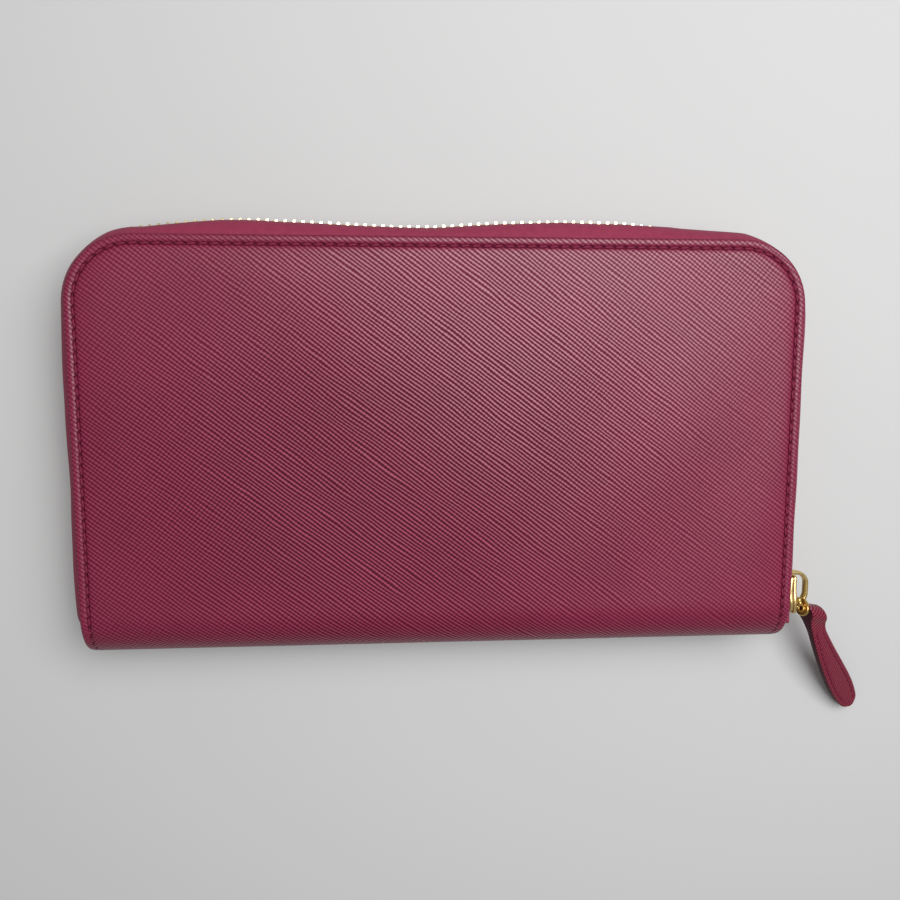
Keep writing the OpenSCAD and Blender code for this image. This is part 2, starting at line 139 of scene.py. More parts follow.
def softened(line, rounds=1):
    for _ in range(rounds):
        line[1:-1] = (line[:-2] + 2 * line[1:-1] + line[2:]) / 4
    return line


# Collects patches with their own coordinates, then welds them into one mesh.
class Parts:

    def __init__(self):
        self.verts, self.faces, self.uvs, self.seams, self.mats, self.count = [], [], [], [], [], 0

    def add(self, verts, faces, uv=None, seam=None, mat=0):
        verts = np.asarray(verts, float).reshape(-1, 3)
        n = len(verts)
        self.verts.append(verts)
        self.faces.extend((np.asarray(f) + self.count).tolist() for f in faces)
        self.uvs.append(np.zeros((n, 2)) if uv is None else np.asarray(uv, float).reshape(-1, 2))
        self.seams.append(np.full((n, 2), -50.0) if seam is None else np.asarray(seam, float).reshape(-1, 2))
        self.mats.extend([mat] * len(faces) if np.isscalar(mat) else list(mat))
        self.count += n

    def build(self, name, materials, slot, weld=True, outward=False):
        obj = newObject(name, np.vstack(self.verts), self.faces, materials, np.vstack(self.uvs),
                        np.vstack(self.seams), self.mats)
        if weld or outward:
            bm = bmesh.new()
            bm.from_mesh(obj.data)
            if weld:
                bmesh.ops.remove_doubles(bm, verts=bm.verts, dist=2e-6)
                bmesh.ops.dissolve_degenerate(bm, dist=1e-7, edges=bm.edges)
            bmesh.ops.recalc_face_normals(bm, faces=bm.faces)
            bm.to_mesh(obj.data)
            bm.free()
        return obj


def smoothstep(t):
    t = np.clip(t, 0, 1)
    return t * t * (3 - 2 * t)


def unit(v):
    v = np.asarray(v, float)
    return v / np.maximum(np.linalg.norm(v, axis=-1, keepdims=True), 1e-12)


# Joins two grids of the same size along their borders, to close a sheet.
def addRim(parts, a, b, uvs, shift=0.4, mat=0):
    n, m = a.shape[:2]
    rim = [(0, j) for j in range(m)] + [(i, m - 1) for i in range(1, n)]
    rim += [(n - 1, j) for j in range(m - 2, -1, -1)] + [(i, 0) for i in range(n - 2, 0, -1)]
    p, q, c = (np.array([g[i, j] for i, j in rim]) for g in (a, b, uvs))
    parts.add(np.stack([p, q], 1), gridFaces(len(rim), 2, closeU=True), np.stack([c, c + shift], 1), None,
              mat)


# Marks edges sharper than an angle, so that smooth shading stops there.
def sharpen(obj, angle):
    bm = bmesh.new()
    bm.from_mesh(obj.data)
    for e in bm.edges:
        if len(e.link_faces) == 2 and e.calc_face_angle() > math.radians(angle):
            e.smooth = False
    bm.to_mesh(obj.data)
    bm.free()


# Extrudes an outline drawn on ex and ey along ez, with rounded edges.
def prism(name, outline, origin, ex, ey, ez, depth, bevel, material, segments=3, holes=()):
    origin, ex, ey, ez = (np.asarray(a, float) for a in (origin, ex, ey, ez))
    bm = bmesh.new()
    loops = [outline, *holes]
    allEdges = []
    for loop in loops:
        vs = [bm.verts.new((origin + ex * p[0] + ey * p[1]) * mm) for p in loop]
        allEdges += [bm.edges.new((vs[i], vs[(i + 1) % len(vs)])) for i in range(len(vs))]
    bmesh.ops.triangle_fill(bm, edges=allEdges, use_beauty=True, use_dissolve=True)
    faces = list(bm.faces)
    raised = bmesh.ops.extrude_face_region(bm, geom=faces)
    moved = [g for g in raised["geom"] if isinstance(g, bmesh.types.BMVert)]
    bmesh.ops.translate(bm, verts=moved, vec=(ez * depth * mm).tolist())
    bmesh.ops.recalc_face_normals(bm, faces=bm.faces)
    if bevel:
        edges = [e for e in bm.edges if len(e.link_faces) == 2 and e.calc_face_angle() > math.radians(50)]
        bmesh.ops.bevel(bm, geom=edges, offset=bevel * mm, segments=segments, affect="EDGES", profile=0.6,
                        clamp_overlap=True)
    mesh = bpy.data.meshes.new(name)
    bm.to_mesh(mesh)
    bm.free()
    smoothFaces(mesh)
    mesh.materials.append(material)
    obj = addObject(name, mesh)
    sharpen(obj, 40)
    return obj


# Sweeps a section, drawn as (across, up), along points. ups gives the up direction at each point.
def tube(points, section, ups):
    points, ups = np.asarray(points, float), np.asarray(ups, float)
    n = len(points)
    if ups.ndim == 1:
        ups = np.tile(ups, (n, 1))
    tangents = unit(np.gradient(points, axis=0))
    side = unit(np.cross(tangents, ups))
    up = unit(np.cross(side, tangents))
    section = np.asarray(section, float)
    if section.ndim == 2:
        section = np.repeat(section[None], n, 0)
    verts = points[:, None] + side[:, None] * section[..., :1] + up[:, None] * section[..., 1:]
    m = section.shape[1]
    return verts.reshape(-1, 3), gridFaces(n, m, closeV=True).tolist() + endFaces(n, m)


def roundRect(w, h, r, n=4):
    pts = []
    for cx, cy, a0 in ((w / 2 - r, h / 2 - r, 0), (-w / 2 + r, h / 2 - r, 90), (-w / 2 + r, -h / 2 + r, 180),
                       (w / 2 - r, -h / 2 + r, 270)):
        for i in range(n + 1):
            a = math.radians(a0 + 90 * i / n)
            pts.append((cx + r * math.cos(a), cy + r * math.sin(a)))
    return pts


def ring(r, n):
    return [(r * math.cos(2 * math.pi * i / n), r * math.sin(2 * math.pi * i / n)) for i in range(n)]


# shader groups
def makeGroup(name, inputs, outputs, build):
    tree = bpy.data.node_groups.new(name, "ShaderNodeTree")
    for label, kind, value in inputs:
        socket = tree.interface.new_socket(name=label, in_out="INPUT", socket_type=kind)
        if value is not None:
            socket.default_value = value
    for label, kind in outputs:
        tree.interface.new_socket(name=label, in_out="OUTPUT", socket_type=kind)
    gIn, gOut = tree.nodes.new("NodeGroupInput"), tree.nodes.new("NodeGroupOutput")
    build(tree, gIn.outputs, gOut.inputs)
    return tree


# Sets a socket to a number or a colour, or links another node's output to it.
def feed(tree, socket, value):
    if isinstance(value, (int, float)):
        socket.default_value = value
    elif isinstance(value, tuple):
        socket.default_value = (*value, 1)
    else:
        tree.links.new(value, socket)


def mathNode(tree, op, *values, clamp=False):
    node = tree.nodes.new("ShaderNodeMath")
    node.operation, node.use_clamp = op, clamp
    for i, value in enumerate(values):
        feed(tree, node.inputs[i], value)
    return node.outputs[0]


def mapRange(tree, value, lo, hi, toLo=0.0, toHi=1.0):
    node = tree.nodes.new("ShaderNodeMapRange")
    node.interpolation_type = "SMOOTHSTEP"
    for name, v in zip(("Value", "From Min", "From Max", "To Min", "To Max"), (value, lo, hi, toLo, toHi)):
        feed(tree, node.inputs[name], v)
    return node.outputs["Result"]


def mixColor(tree, factor, a, b):
    node = tree.nodes.new("ShaderNodeMix")
    node.data_type = "RGBA"
    for i, v in zip((0, 6, 7), (factor, a, b)):
        feed(tree, node.inputs[i], v)
    return node.outputs[2]


def noise(tree, vector, scale, detail=2.0, rough=0.5):
    node = tree.nodes.new("ShaderNodeTexNoise")
    node.inputs["Scale"].default_value = scale
    node.inputs["Detail"].default_value = detail
    node.inputs["Roughness"].default_value = rough
    tree.links.new(vector, node.inputs["Vector"])
    return node.outputs["Fac"]


def splitXY(tree, vector):
    node = tree.nodes.new("ShaderNodeSeparateXYZ")
    tree.links.new(vector, node.inputs[0])
    return node.outputs[0], node.outputs[1]


# Coordinates along and across a direction at an angle.
def rotated(calc, x, y, angle):
    along = calc("ADD", calc("MULTIPLY", x, math.cos(angle)), calc("MULTIPLY", y, math.sin(angle)))
    across = calc("SUBTRACT", calc("MULTIPLY", y, math.cos(angle)), calc("MULTIPLY", x, math.sin(angle)))
    return along, across


# Two sets of pressed ridges crossing on the bias, straight but unevenly spaced. The vector is in millimetres.
def buildCrossGrain(tree, gi, go):
    calc = partial(mathNode, tree)
    x, y = splitXY(tree, gi["Vector"])
    fine = calc("SUBTRACT", noise(tree, gi["Vector"], 1.3, 2), 0.5)
    ridges = []
    for seed, angle, pitch in ((0.0, 53.0, 0.89), (9.0, -38.5, 0.92)):
        along, across = rotated(calc, x, y, math.radians(angle))
        place = tree.nodes.new("ShaderNodeCombineXYZ")
        tree.links.new(calc("MULTIPLY", along, 0.2), place.inputs[0])
        tree.links.new(calc("MULTIPLY", across, 0.05), place.inputs[1])
        place.inputs[2].default_value = seed
        drift = calc("SUBTRACT", noise(tree, place.outputs[0], 1.0, 2), 0.5)
        along = calc("MULTIPLY_ADD", drift, 1.5, along)
        along = calc("MULTIPLY_ADD", fine, 0.16, along)
        phase = calc("MULTIPLY", calc("DIVIDE", along, gi["Pitch"]), 2 * math.pi / pitch)
        ridges.append(calc("POWER", calc("MULTIPLY_ADD", calc("SINE", phase), 0.5, 0.5), 1.25))
    # the second set is fainter in the middle than towards the sides
    side = mapRange(tree, calc("ABSOLUTE", x), 20.0, 85.0, 0.30, 0.52)
    side = calc("MULTIPLY_ADD", calc("SUBTRACT", noise(tree, gi["Vector"], 0.04, 2), 0.5), 0.7, side)
    weight = calc("MULTIPLY", calc("MAXIMUM", side, 0.2), gi["Cross"])
    both = calc("MULTIPLY_ADD", ridges[1], weight, ridges[0])
    height = calc("DIVIDE", both, calc("ADD", weight, 1.0))
    height = mapRange(tree, height, 0.24, 0.86)
    tree.links.new(height, go["Height"])
    tree.links.new(noise(tree, gi["Vector"], 0.05, 3), go["Drift"])


crossGrain = makeGroup(
    "Cross grain", [("Vector", "NodeSocketVector", None), ("Pitch", "NodeSocketFloat", 1.05),
                    ("Cross", "NodeSocketFloat", 1.0)],
    [("Height", "NodeSocketFloat"), ("Drift", "NodeSocketFloat")], buildCrossGrain)


# Slanted awl holes and the groove of a seam, as masks for the holes' dip and for the painted shade in the
# holes and along the groove. The vector is the distance along the seam and in from the edge.
def buildStitchHoles(tree, gi, go):
    calc = partial(mathNode, tree)
    s, d = splitXY(tree, gi["Vector"])
    off = calc("SUBTRACT", d, gi["Inset"])
    turns = calc("DIVIDE", s, gi["Pitch"])
    local = calc("MULTIPLY", calc("SUBTRACT", calc("FRACT", turns), 0.5), gi["Pitch"])
    slant = math.radians(-24)
    along, across = rotated(calc, local, off, slant)
    a2 = calc("POWER", calc("DIVIDE", along, 0.85), 2.0)
    b2 = calc("POWER", calc("DIVIDE", across, 0.27), 2.0)
    hole = mapRange(tree, calc("ADD", a2, b2), 1.7, 0.2)
    # the groove's mask is used only for painted shade along the groove
    groove = mapRange(tree, calc("ABSOLUTE", off), 0.75, 0.1)
    tree.links.new(hole, go["Hole"])
    tree.links.new(groove, go["GrooveShade"])


stitchHoles = makeGroup(
    "Stitch holes", [("Vector", "NodeSocketVector", None), ("Pitch", "NodeSocketFloat", 2.85),
                     ("Inset", "NodeSocketFloat", 2.25)],
    [("Hole", "NodeSocketFloat"), ("GrooveShade", "NodeSocketFloat")], buildStitchHoles)


def newMaterial(name):
    mat = bpy.data.materials.new(name)
    mat.use_nodes = True
    tree = mat.node_tree
    return mat, tree, tree.nodes["Principled BSDF"]


def uvInMm(tree, layer="UVMap"):
    node = tree.nodes.new("ShaderNodeUVMap")
    node.uv_map = layer
    return node.outputs[0]


def setBump(tree, bsdf, height, strength, distance):
    node = tree.nodes.new("ShaderNodeBump")
    node.inputs["Strength"].default_value = strength
    node.inputs["Distance"].default_value = distance
    tree.links.new(height, node.inputs["Height"])
    tree.links.new(node.outputs[0], bsdf.inputs["Normal"])


def useGroup(tree, group, **values):
    node = tree.nodes.new("ShaderNodeGroup")
    node.node_tree = group
    for key, value in values.items():
        feed(tree, node.inputs[key], value)
    return node


def grainLeather(name, light, dark, cross=1.0, pitch=1.05, rough=0.46, withSeam=True, bump=0.7):
    mat, tree, bsdf = newMaterial(name)
    calc = partial(mathNode, tree)
    uv = uvInMm(tree)
    grain = useGroup(tree, crossGrain, Vector=uv, Pitch=pitch, Cross=cross)
    drift = mapRange(tree, grain.outputs["Drift"], 0.3, 0.7)
    height = grain.outputs["Height"]
    if withSeam:
        seam = uvInMm(tree, "Seam")
        holes = useGroup(tree, stitchHoles, Vector=seam)
        # the grain is pressed flatter in the turned border outside the seam; away from the middle its pits
        # are filled in towards a mid tone as painted sheen, standing in for the light's reflection washing
        # them out
        x, y = splitXY(tree, uv)
        x = calc("ADD", x, 15.0)
        y = calc("MULTIPLY", calc("SUBTRACT", calc("ABSOLUTE", y), 55.0), 1.5)
        sheenFadeDistance = calc("SQRT", calc("ADD", calc("MULTIPLY", x, x), calc("MULTIPLY", y, y)))
        border = mapRange(tree, splitXY(tree, seam)[1], 3.4, 1.6, 0.0, 0.6)
        # painted sheen: the pits are filled in more with distance from the middle of the cover
        flat = calc("MAXIMUM", border, mapRange(tree, sheenFadeDistance, 25.0, 105.0, 0.0, 0.5))
        height = mixColor(tree, flat, height, (0.56, 0.56, 0.56))
    color = mixColor(tree, height, dark, light)
    color = mixColor(tree, calc("MULTIPLY", drift, 0.14), color, dark)
    if withSeam:
        # painted shade: darkens the seam's groove and, almost black, the awl holes
        color = mixColor(tree, calc("MULTIPLY", holes.outputs["GrooveShade"], 0.3), color, dark)
        color = mixColor(tree, calc("MULTIPLY", holes.outputs["Hole"], 0.5), color, (0.035, 0.001, 0.006))
        height = calc("SUBTRACT", height, calc("MULTIPLY", holes.outputs["Hole"], 2.2))
    tree.links.new(color, bsdf.inputs["Base Color"])
    tree.links.new(mapRange(tree, height, 0.0, 1.0, rough + 0.2, rough), bsdf.inputs["Roughness"])
    tree.links.new(mapRange(tree, height, 0.18, 0.8), bsdf.inputs["Coat Weight"])
    bsdf.inputs["Coat Roughness"].default_value = 0.38
    bsdf.inputs["Specular IOR Level"].default_value = 0.15
    setBump(tree, bsdf, height, bump, 0.0002)
    return mat


def plainLeather(name, base, dark, rough=0.55, scale=1.6, bump=0.25):
    mat, tree, bsdf = newMaterial(name)
    uv = uvInMm(tree)
    n = noise(tree, uv, scale, 4, 0.6)
    tree.links.new(mixColor(tree, mapRange(tree, n, 0.35, 0.7), base, dark), bsdf.inputs["Base Color"])
    tree.links.new(mapRange(tree, n, 0.3, 0.7, rough - 0.06, rough + 0.08), bsdf.inputs["Roughness"])
    setBump(tree, bsdf, n, bump, 0.00015)
    bsdf.inputs["Specular IOR Level"].default_value = 0.2
    return mat


def edgePaint(name, base):
    mat, tree, bsdf = newMaterial(name)
    coords = tree.nodes.new("ShaderNodeTexCoord").outputs["Object"]
    n = noise(tree, coords, 900.0, 3)
    tree.links.new(mixColor(tree, n, base, tuple(c * 0.55 for c in base)), bsdf.inputs["Base Color"])
    bsdf.inputs["Roughness"].default_value = 0.5
    bsdf.inputs["Specular IOR Level"].default_value = 0.12
    setBump(tree, bsdf, n, 0.25, 0.0002)
    return mat


# Fine herringbone of a zip tape.
def wovenTape(name, base, dark):
    mat, tree, bsdf = newMaterial(name)
    calc = partial(mathNode, tree)
    uv = uvInMm(tree)
    x, y = splitXY(tree, uv)
    zig = calc("PINGPONG", y, 0.9)
    slope = calc("ADD", x, calc("MULTIPLY", zig, 0.7))
    rib = calc("SINE", calc("MULTIPLY", slope, 2 * math.pi / 0.42))
    rib = calc("MULTIPLY_ADD", rib, 0.5, 0.5)
    soft = noise(tree, uv, 0.5, 3)
    shade = calc("MULTIPLY_ADD", soft, 0.5, calc("MULTIPLY", rib, 0.45), clamp=True)
    tree.links.new(mixColor(tree, shade, dark, base), bsdf.inputs["Base Color"])
    bsdf.inputs["Roughness"].default_value = 0.62
    bsdf.inputs["Specular IOR Level"].default_value = 0.2
    setBump(tree, bsdf, rib, 0.35, 0.00012)
    return mat


def threadMaterial(name, base):
    mat, tree, bsdf = newMaterial(name)
    calc = partial(mathNode, tree)
    uv = uvInMm(tree)
    x, y = splitXY(tree, uv)
    ply = calc("SINE", calc("MULTIPLY", calc("ADD", x, calc("MULTIPLY", y, 0.45)), 2 * math.pi / 0.36))
    ply = calc("MULTIPLY_ADD", ply, 0.5, 0.5)
    tree.links.new(mixColor(tree, ply, tuple(c * 0.55 for c in base), base), bsdf.inputs["Base Color"])
    bsdf.inputs["Roughness"].default_value = 0.55
    bsdf.inputs["Specular IOR Level"].default_value = 0.2
    setBump(tree, bsdf, ply, 0.4, 0.0001)
    return mat


def platedMetal(name, base, rough=0.2):
    mat, tree, bsdf = newMaterial(name)
    calc = partial(mathNode, tree)
    coords = tree.nodes.new("ShaderNodeTexCoord").outputs["Object"]
    n = noise(tree, coords, 420.0, 4, 0.6)
    fine = noise(tree, coords, 2600.0, 2, 0.5)
    tint = mixColor(tree, calc("MULTIPLY", n, 0.35), base, tuple(c * 0.72 for c in base))
    tree.links.new(tint, bsdf.inputs["Base Color"])
    tree.links.new(mapRange(tree, n, 0.3, 0.75, rough - 0.05, rough + 0.14), bsdf.inputs["Roughness"])
    bsdf.inputs["Metallic"].default_value = 1.0
    height = calc("ADD", calc("MULTIPLY", n, 0.5), calc("MULTIPLY", fine, 0.4))
    setBump(tree, bsdf, height, 0.03, 0.00006)
    return mat


# linear colours
colours = {
    "leatherLight": (0.250, 0.015, 0.062),
    "leatherDark": (0.060, 0.0008, 0.010),
    "lining": (0.19, 0.013, 0.045),
    "liningDark": (0.12, 0.006, 0.025),
    "paint": (0.065, 0.003, 0.014),
    "pullLight": (0.185, 0.013, 0.033),
    "pullDark": (0.105, 0.004, 0.016),
    # a darker gold for the link and its pin
    "darkerGold": (0.56, 0.38, 0.13),
    "pullPaint": (0.05, 0.002, 0.011),
    "tape": (0.295, 0.036, 0.082),
    "tapeDark": (0.12, 0.008, 0.026),
    "thread": (0.17, 0.010, 0.038),
    "gold": (0.78, 0.58, 0.25),
    "toothGold": (0.95, 0.80, 0.50),
    "plainRed": (0.17, 0.012, 0.045),
    "plainRedDark": (0.10, 0.005, 0.022),
}
outerLeather = grainLeather("OuterLeather", colours["leatherLight"], colours["leatherDark"])
pullLeather = grainLeather("PullLeather", colours["pullLight"], colours["pullDark"], cross=0.5, pitch=0.85,
                           withSeam=False, bump=0.4)
innerLeather = grainLeather("InnerLeather", colours["leatherLight"], colours["leatherDark"], cross=1.0,
                            pitch=1.0, withSeam=False, bump=0.4)
liningLeather = plainLeather("LiningLeather", colours["lining"], colours["liningDark"])
paintedEdge = edgePaint("PaintedEdge", colours["paint"])
pullEdgePaint = edgePaint("PullEdgePaint", colours["pullPaint"])
tapeFabric = wovenTape("TapeFabric", colours["tape"], colours["tapeDark"])
seamThread = threadMaterial("SeamThread", colours["thread"])
goldMetal = platedMetal("GoldMetal", colours["gold"], 0.2)
darkerMetal = platedMetal("DarkerGold", colours["darkerGold"], 0.26)
toothMetal = platedMetal("ToothMetal", colours["toothGold"], 0.16)
plainRed = plainLeather("PlainRedLeather", colours["plainRed"], colours["plainRedDark"], 0.5, 2.2, 0.3)
print("materials ready")


# outer leather: rear cover, spine and front cover in one sheet
leather = {
    "thickness": 1.2,
    "seamInset": 2.25,      # from the edge to the thread
    "grooveDepth": 0.34,
    "rim": 0.10,            # how much the border outside the seam stands up
    "pad": 0.38,            # how much the front cover swells inside the seam
    "spineNotch": 3.2,      # corner radius where the leather narrows round the spine
}


# Half the leather's width at height y of the plan, narrowing round the spine.
def halfWidthAt(y):
    r = leather["spineNotch"]
    low = -farY + r
    return halfW - r + np.sqrt(np.maximum(r * r - np.maximum(low - np.asarray(y, float), 0) ** 2, 0.0))


# Plan of the line that runs at one inset inside a cover's edge: right side, corner, top, corner, left side.
def edgeLine(inset, sideY, arc, topX):
    r = cornerR - inset
    right = np.stack([np.full(len(sideY), halfW - inset), sideY], 1)
    c1 = np.stack([cornerX + r * np.cos(arc), cornerY + r * np.sin(arc)], 1)
    top = np.stack([topX, np.full(len(topX), farY - inset)], 1)
    c2 = c1[::-1] * (-1, 1)
    left = right[::-1] * (-1, 1)
    return np.vstack([right[:-1], c1[:-1], top[:-1], c2[:-1], left])


# Slight unevenness of the front cover, in millimetres.
def waves(x, y):
    broad = 0.16 * np.sin(x * 0.041 + 0.6) * np.cos(y * 0.055 - 0.4)
    return broad + 0.10 * np.sin(x * 0.083 + y * 0.061 + 1.7) + 0.07 * np.sin(x * 0.13 - y * 0.11 + 0.2)


# Height of the outer surface above its plain level, at distance d inside the edge.
def surfaceHeight(d, x, y, front, seamOn):
    groove = -leather["grooveDepth"] * np.exp(-((d - leather["seamInset"]) / 0.42) ** 2) * seamOn
    groove = groove - 0.10 * np.exp(-((d - leather["seamInset"]) / 1.1) ** 2) * seamOn
    rim = leather["rim"] * np.exp(-((d - 1.15) / 0.5) ** 2)
    pad = leather["pad"] * (1 - np.exp(-np.maximum(d - 2.6, 0) / 3.4)) if front else 0.0
    inner = smoothstep((d - 3) / 8)
    return groove + (rim if front else 0) + pad + (waves(x,
                                                         y) * inner if front else 0) + np.zeros(np.shape(x))


# the edge's own section: (inset, height below the outer level), from the face round to the back
edgeSection = [(0.04, -0.28), (-0.05, -0.45), (-0.07, -0.62), (-0.04, -0.82),
               (0.05, -0.98), (0.2, -1.12), (0.42, -1.2)]
faceInsets = [17, 14.5, 12, 10, 8.3, 7, 6, 5.2, 4.5, 3.9, 3.4, 3.0, 2.75, 2.55, 2.38, 2.25, 2.12, 1.95, 1.75,
              1.5, 1.2,
              0.9, 0.62]
backInsets = [0.8, 1.6, 4, 8, 12, 17]
# (inset, height or None where the surface gives it, material: 0 leather, 1 edge paint, 2 lining side)
section = [(d, None, 0) for d in faceInsets] + [(0.38, -0.03, 0), (0.18, -0.12, 0), (0.10, -0.19, 0)]
section += [(d, h, 1) for d, h in edgeSection] + [(d, -leather["thickness"], 2) for d in backInsets]
sectionD = np.array([p[0] for p in section], float)


# The seam stops where the leather turns round the spine. arc is in radians from the cover.
def seamFade(arc):
    return smoothstep((math.radians(26) - arc) / math.radians(6))


def makeCoverSheet():
    parts = Parts()
    nSide, nArc, nTop, nSpine = 56, 20, 108, 30
    sideY = np.linspace(axisY, cornerY, nSide + 1)
    arc = np.linspace(0, math.pi / 2, nArc + 1)
    topX = np.linspace(cornerX, -cornerX, nTop + 1)
    reach = runLength(edgeLine(leather["seamInset"], sideY, arc, topX))
    flatRun = 19.635                                    # half the way round the spine, where a cover begins
    m = len(section)

    def heights(d, h, x, y, front, seamOn):
        return surfaceHeight(d, x, y, front, seamOn) if h is None else np.full(np.shape(x),
                                                                               h + (0.02 if h > -0.1 else 0))

    for front in (True, False):
        level, sign = (fullT, 1) if front else (0.0, -1)
        lines, hs = [], []
        for d, h, _ in section:
            line = edgeLine(d, sideY, arc, topX)
            lines.append(line)
            hs.append(heights(d, h, line[:, 0], line[:, 1], front, 1.0) + np.zeros(len(line)))
        plan, hh = np.stack(lines, 1), np.stack(hs, 1)
        verts = np.concatenate([plan, level + sign * hh[..., None]], -1)
        n = len(plan)
        arcLen = flatRun + (plan[..., 1] - axisY)
        uv = np.stack([plan[..., 0], arcLen * sign], -1)
        seam = np.stack([np.repeat(reach[:, None], m, 1), np.repeat(sectionD[None], n, 0)], -1)
        onBack = np.array([p[2] for p in section])
        seam[:, onBack > 0] = -50
        faces = gridFaces(n, m)
        kinds = np.maximum(onBack[:-1], onBack[1:])
        mats = np.tile([0 if k == 0 else (1 if k == 1 else 2) for k in kinds], n - 1)
        parts.add(verts, faces, uv, seam, mats)
        gx, gy = np.meshgrid(topX, sideY, indexing="ij")
        for inner in (False, True):
            if inner:
                h = np.full(gx.shape, -leather["thickness"])
            else:
                h = surfaceHeight(17.0, gx, gy, front, 0.0)
                fill = smoothstep(np.minimum(np.minimum(cornerX - np.abs(gx), cornerY - gy), 17) / 17)
                h = h + (0.10 * fill if front else 0)
            v = np.stack([gx, gy, level + sign * h], -1)
            uv = np.stack([gx, (flatRun + gy - axisY) * sign], -1)
            parts.add(v, gridFaces(*gx.shape), uv, np.full(gx.shape + (2,), 17.0), 2 if inner else 0)
    # round the spine
    theta = np.linspace(0, math.pi, nSpine + 1)
    # right edge from face to back, back, left edge from back to face, face
    ringX = [("band", 1, i) for i in range(m)] + [("inner", x) for x in topX[1:-1]]
    ringX += [("band", -1, i) for i in range(m)[::-1]] + [("outer", x) for x in topX[1:-1][::-1]]
    verts, uvs, seams = [], [], []
    for t in theta:
        # padding and waves fade out from the front cover
        front = 1 - smoothstep(t / math.radians(70))
        y0 = axisY - midZ * math.sin(t)
        hw = float(halfWidthAt(y0))
        row, rowUv, rowSeam = [], [], []
        seamOn = float(seamFade(min(t, math.pi - t)))
        for item in ringX:
            if item[0] == "band":
                d, h, kind = section[item[2]]
                x = item[1] * (hw - d)
                if h is None:
                    plain = surfaceHeight(d, x, axisY, True, seamOn)
                    bare = surfaceHeight(d, x, axisY, False, seamOn)
                    h = plain * front + bare * (1 - front)
                else:
                    h = h + (0.02 if h > -0.1 else 0)
                past = midZ * min(t, math.pi - t)
                seamUv = (-past if item[1] > 0 else reach[-1] + past, d) if kind == 0 else (-50, -50)
            else:
                x = item[1] * (hw - 17) / cornerX
                seamUv = (17, 17)
                if item[0] == "inner":
                    h = -leather["thickness"]
                else:
                    fill = float(smoothstep(min(cornerX - abs(item[1]), 17) / 17))
                    h = (float(surfaceHeight(17.0, x, axisY, True, 0)) + 0.10 * fill) * front
            r = midZ + h
            row.append((x, axisY - r * math.sin(t), midZ + r * math.cos(t)))
            rowUv.append((x, flatRun - midZ * t))
            rowSeam.append(seamUv)
        verts.append(row)
        uvs.append(rowUv)
        seams.append(rowSeam)
    nRing = len(ringX)
    faces = gridFaces(nSpine + 1, nRing, closeV=True)
    kindOf = []
    for i in range(nRing):
        a, b = ringX[i], ringX[(i + 1) % nRing]
        ks = [section[c[2]][2] if c[0] == "band" else (2 if c[0] == "inner" else 0) for c in (a, b)]
        kindOf.append(0 if max(ks) == 0 else (1 if 1 in ks else 2))
    parts.add(verts, faces, uvs, seams, np.tile(kindOf, nSpine))
    return parts.build("OuterLeatherSheet", [outerLeather, paintedEdge, liningLeather], "outer_leather")


sheet = makeCoverSheet()
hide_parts("rear_outer_leather", "spine_leather", "front_outer_leather")
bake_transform(sheet)
print("outer leather", len(sheet.data.vertices))


# The covers' outline in plan from the right side round the top to the left side, by distance from the spine's
# axis.
class EdgePath:

    def __init__(self, y0=-52.0, step=0.5):
        n1, n2 = round((cornerY - y0) / step), round(cornerR * math.pi / 2 / step)
        n3 = round(2 * cornerX / step)
        arc = np.linspace(0, math.pi / 2, n2 + 1)[:-1]
        self.points = np.vstack([
            np.stack([np.full(n1, halfW), np.linspace(y0, cornerY, n1, endpoint=False)], 1),
            np.stack([cornerX + cornerR * np.cos(arc), cornerY + cornerR * np.sin(arc)], 1),
            np.stack([np.linspace(cornerX, -cornerX, n3, endpoint=False), np.full(n3, farY)], 1),
            np.stack([-cornerX - cornerR * np.sin(arc), cornerY + cornerR * np.cos(arc)], 1),
            np.stack([np.full(n1 + 1, -halfW), np.linspace(cornerY, y0, n1 + 1)], 1),
        ])
        self.normal = np.vstack([
            np.tile((1.0, 0.0), (n1, 1)),
            np.stack([np.cos(arc), np.sin(arc)], 1),
            np.tile((0.0, 1.0), (n3, 1)),
            np.stack([-np.sin(arc), np.cos(arc)], 1),
            np.tile((-1.0, 0.0), (n1 + 1, 1)),
        ])
        self.run = runLength(self.points) + (y0 - axisY)

    def at(self, s):
        return lookUp(s, self.run, self.points), unit(lookUp(s, self.run, self.normal))


edgePath = EdgePath()
sideLen, cornerLen, topLen = cornerY - axisY, cornerR * math.pi / 2, 2 * cornerX
topStart = sideLen + cornerLen                       # distance where the straight top begins
pathEnd = 2 * (sideLen + cornerLen) + topLen

# zip tapes and teeth
zipSet = {
    "tapeThickness": 0.5,
    "pitch": 2.3,
    "toothHalfWidth": 1.1,
    "toothLength": 0.95,    # along the chain
    "chainGap": 1.5,        # from the chain's middle to the tape's edge
    # along the top, (x, how far the chain stands out); it is drawn in at both corners
    "wave": [(78, 1.7), (70, 1.9), (62, 2.4), (54, 3.5), (48, 4.2), (32, 4.4), (15, 3.95), (-3, 2.75),
             (-11, 2.65),
             (-30, 3.45), (-48, 4.15), (-57, 4.1), (-65, 3.6), (-71, 2.9), (-77, 2.1), (-78, 2.0)],
}


# Straight runs between knots (place, value), with their corners smoothed over a window of samples.
def roundedInterp(s, knots, samples, window):
    xs, ys = np.array(knots, float).T
    fine = np.linspace(xs[0], xs[-1], samples)
    kernel = np.hanning(window)
    padded = np.pad(np.interp(fine, xs, ys), window // 2, mode="edge")
    return np.interp(s, fine, np.convolve(padded, kernel / kernel.sum(), mode="valid"))


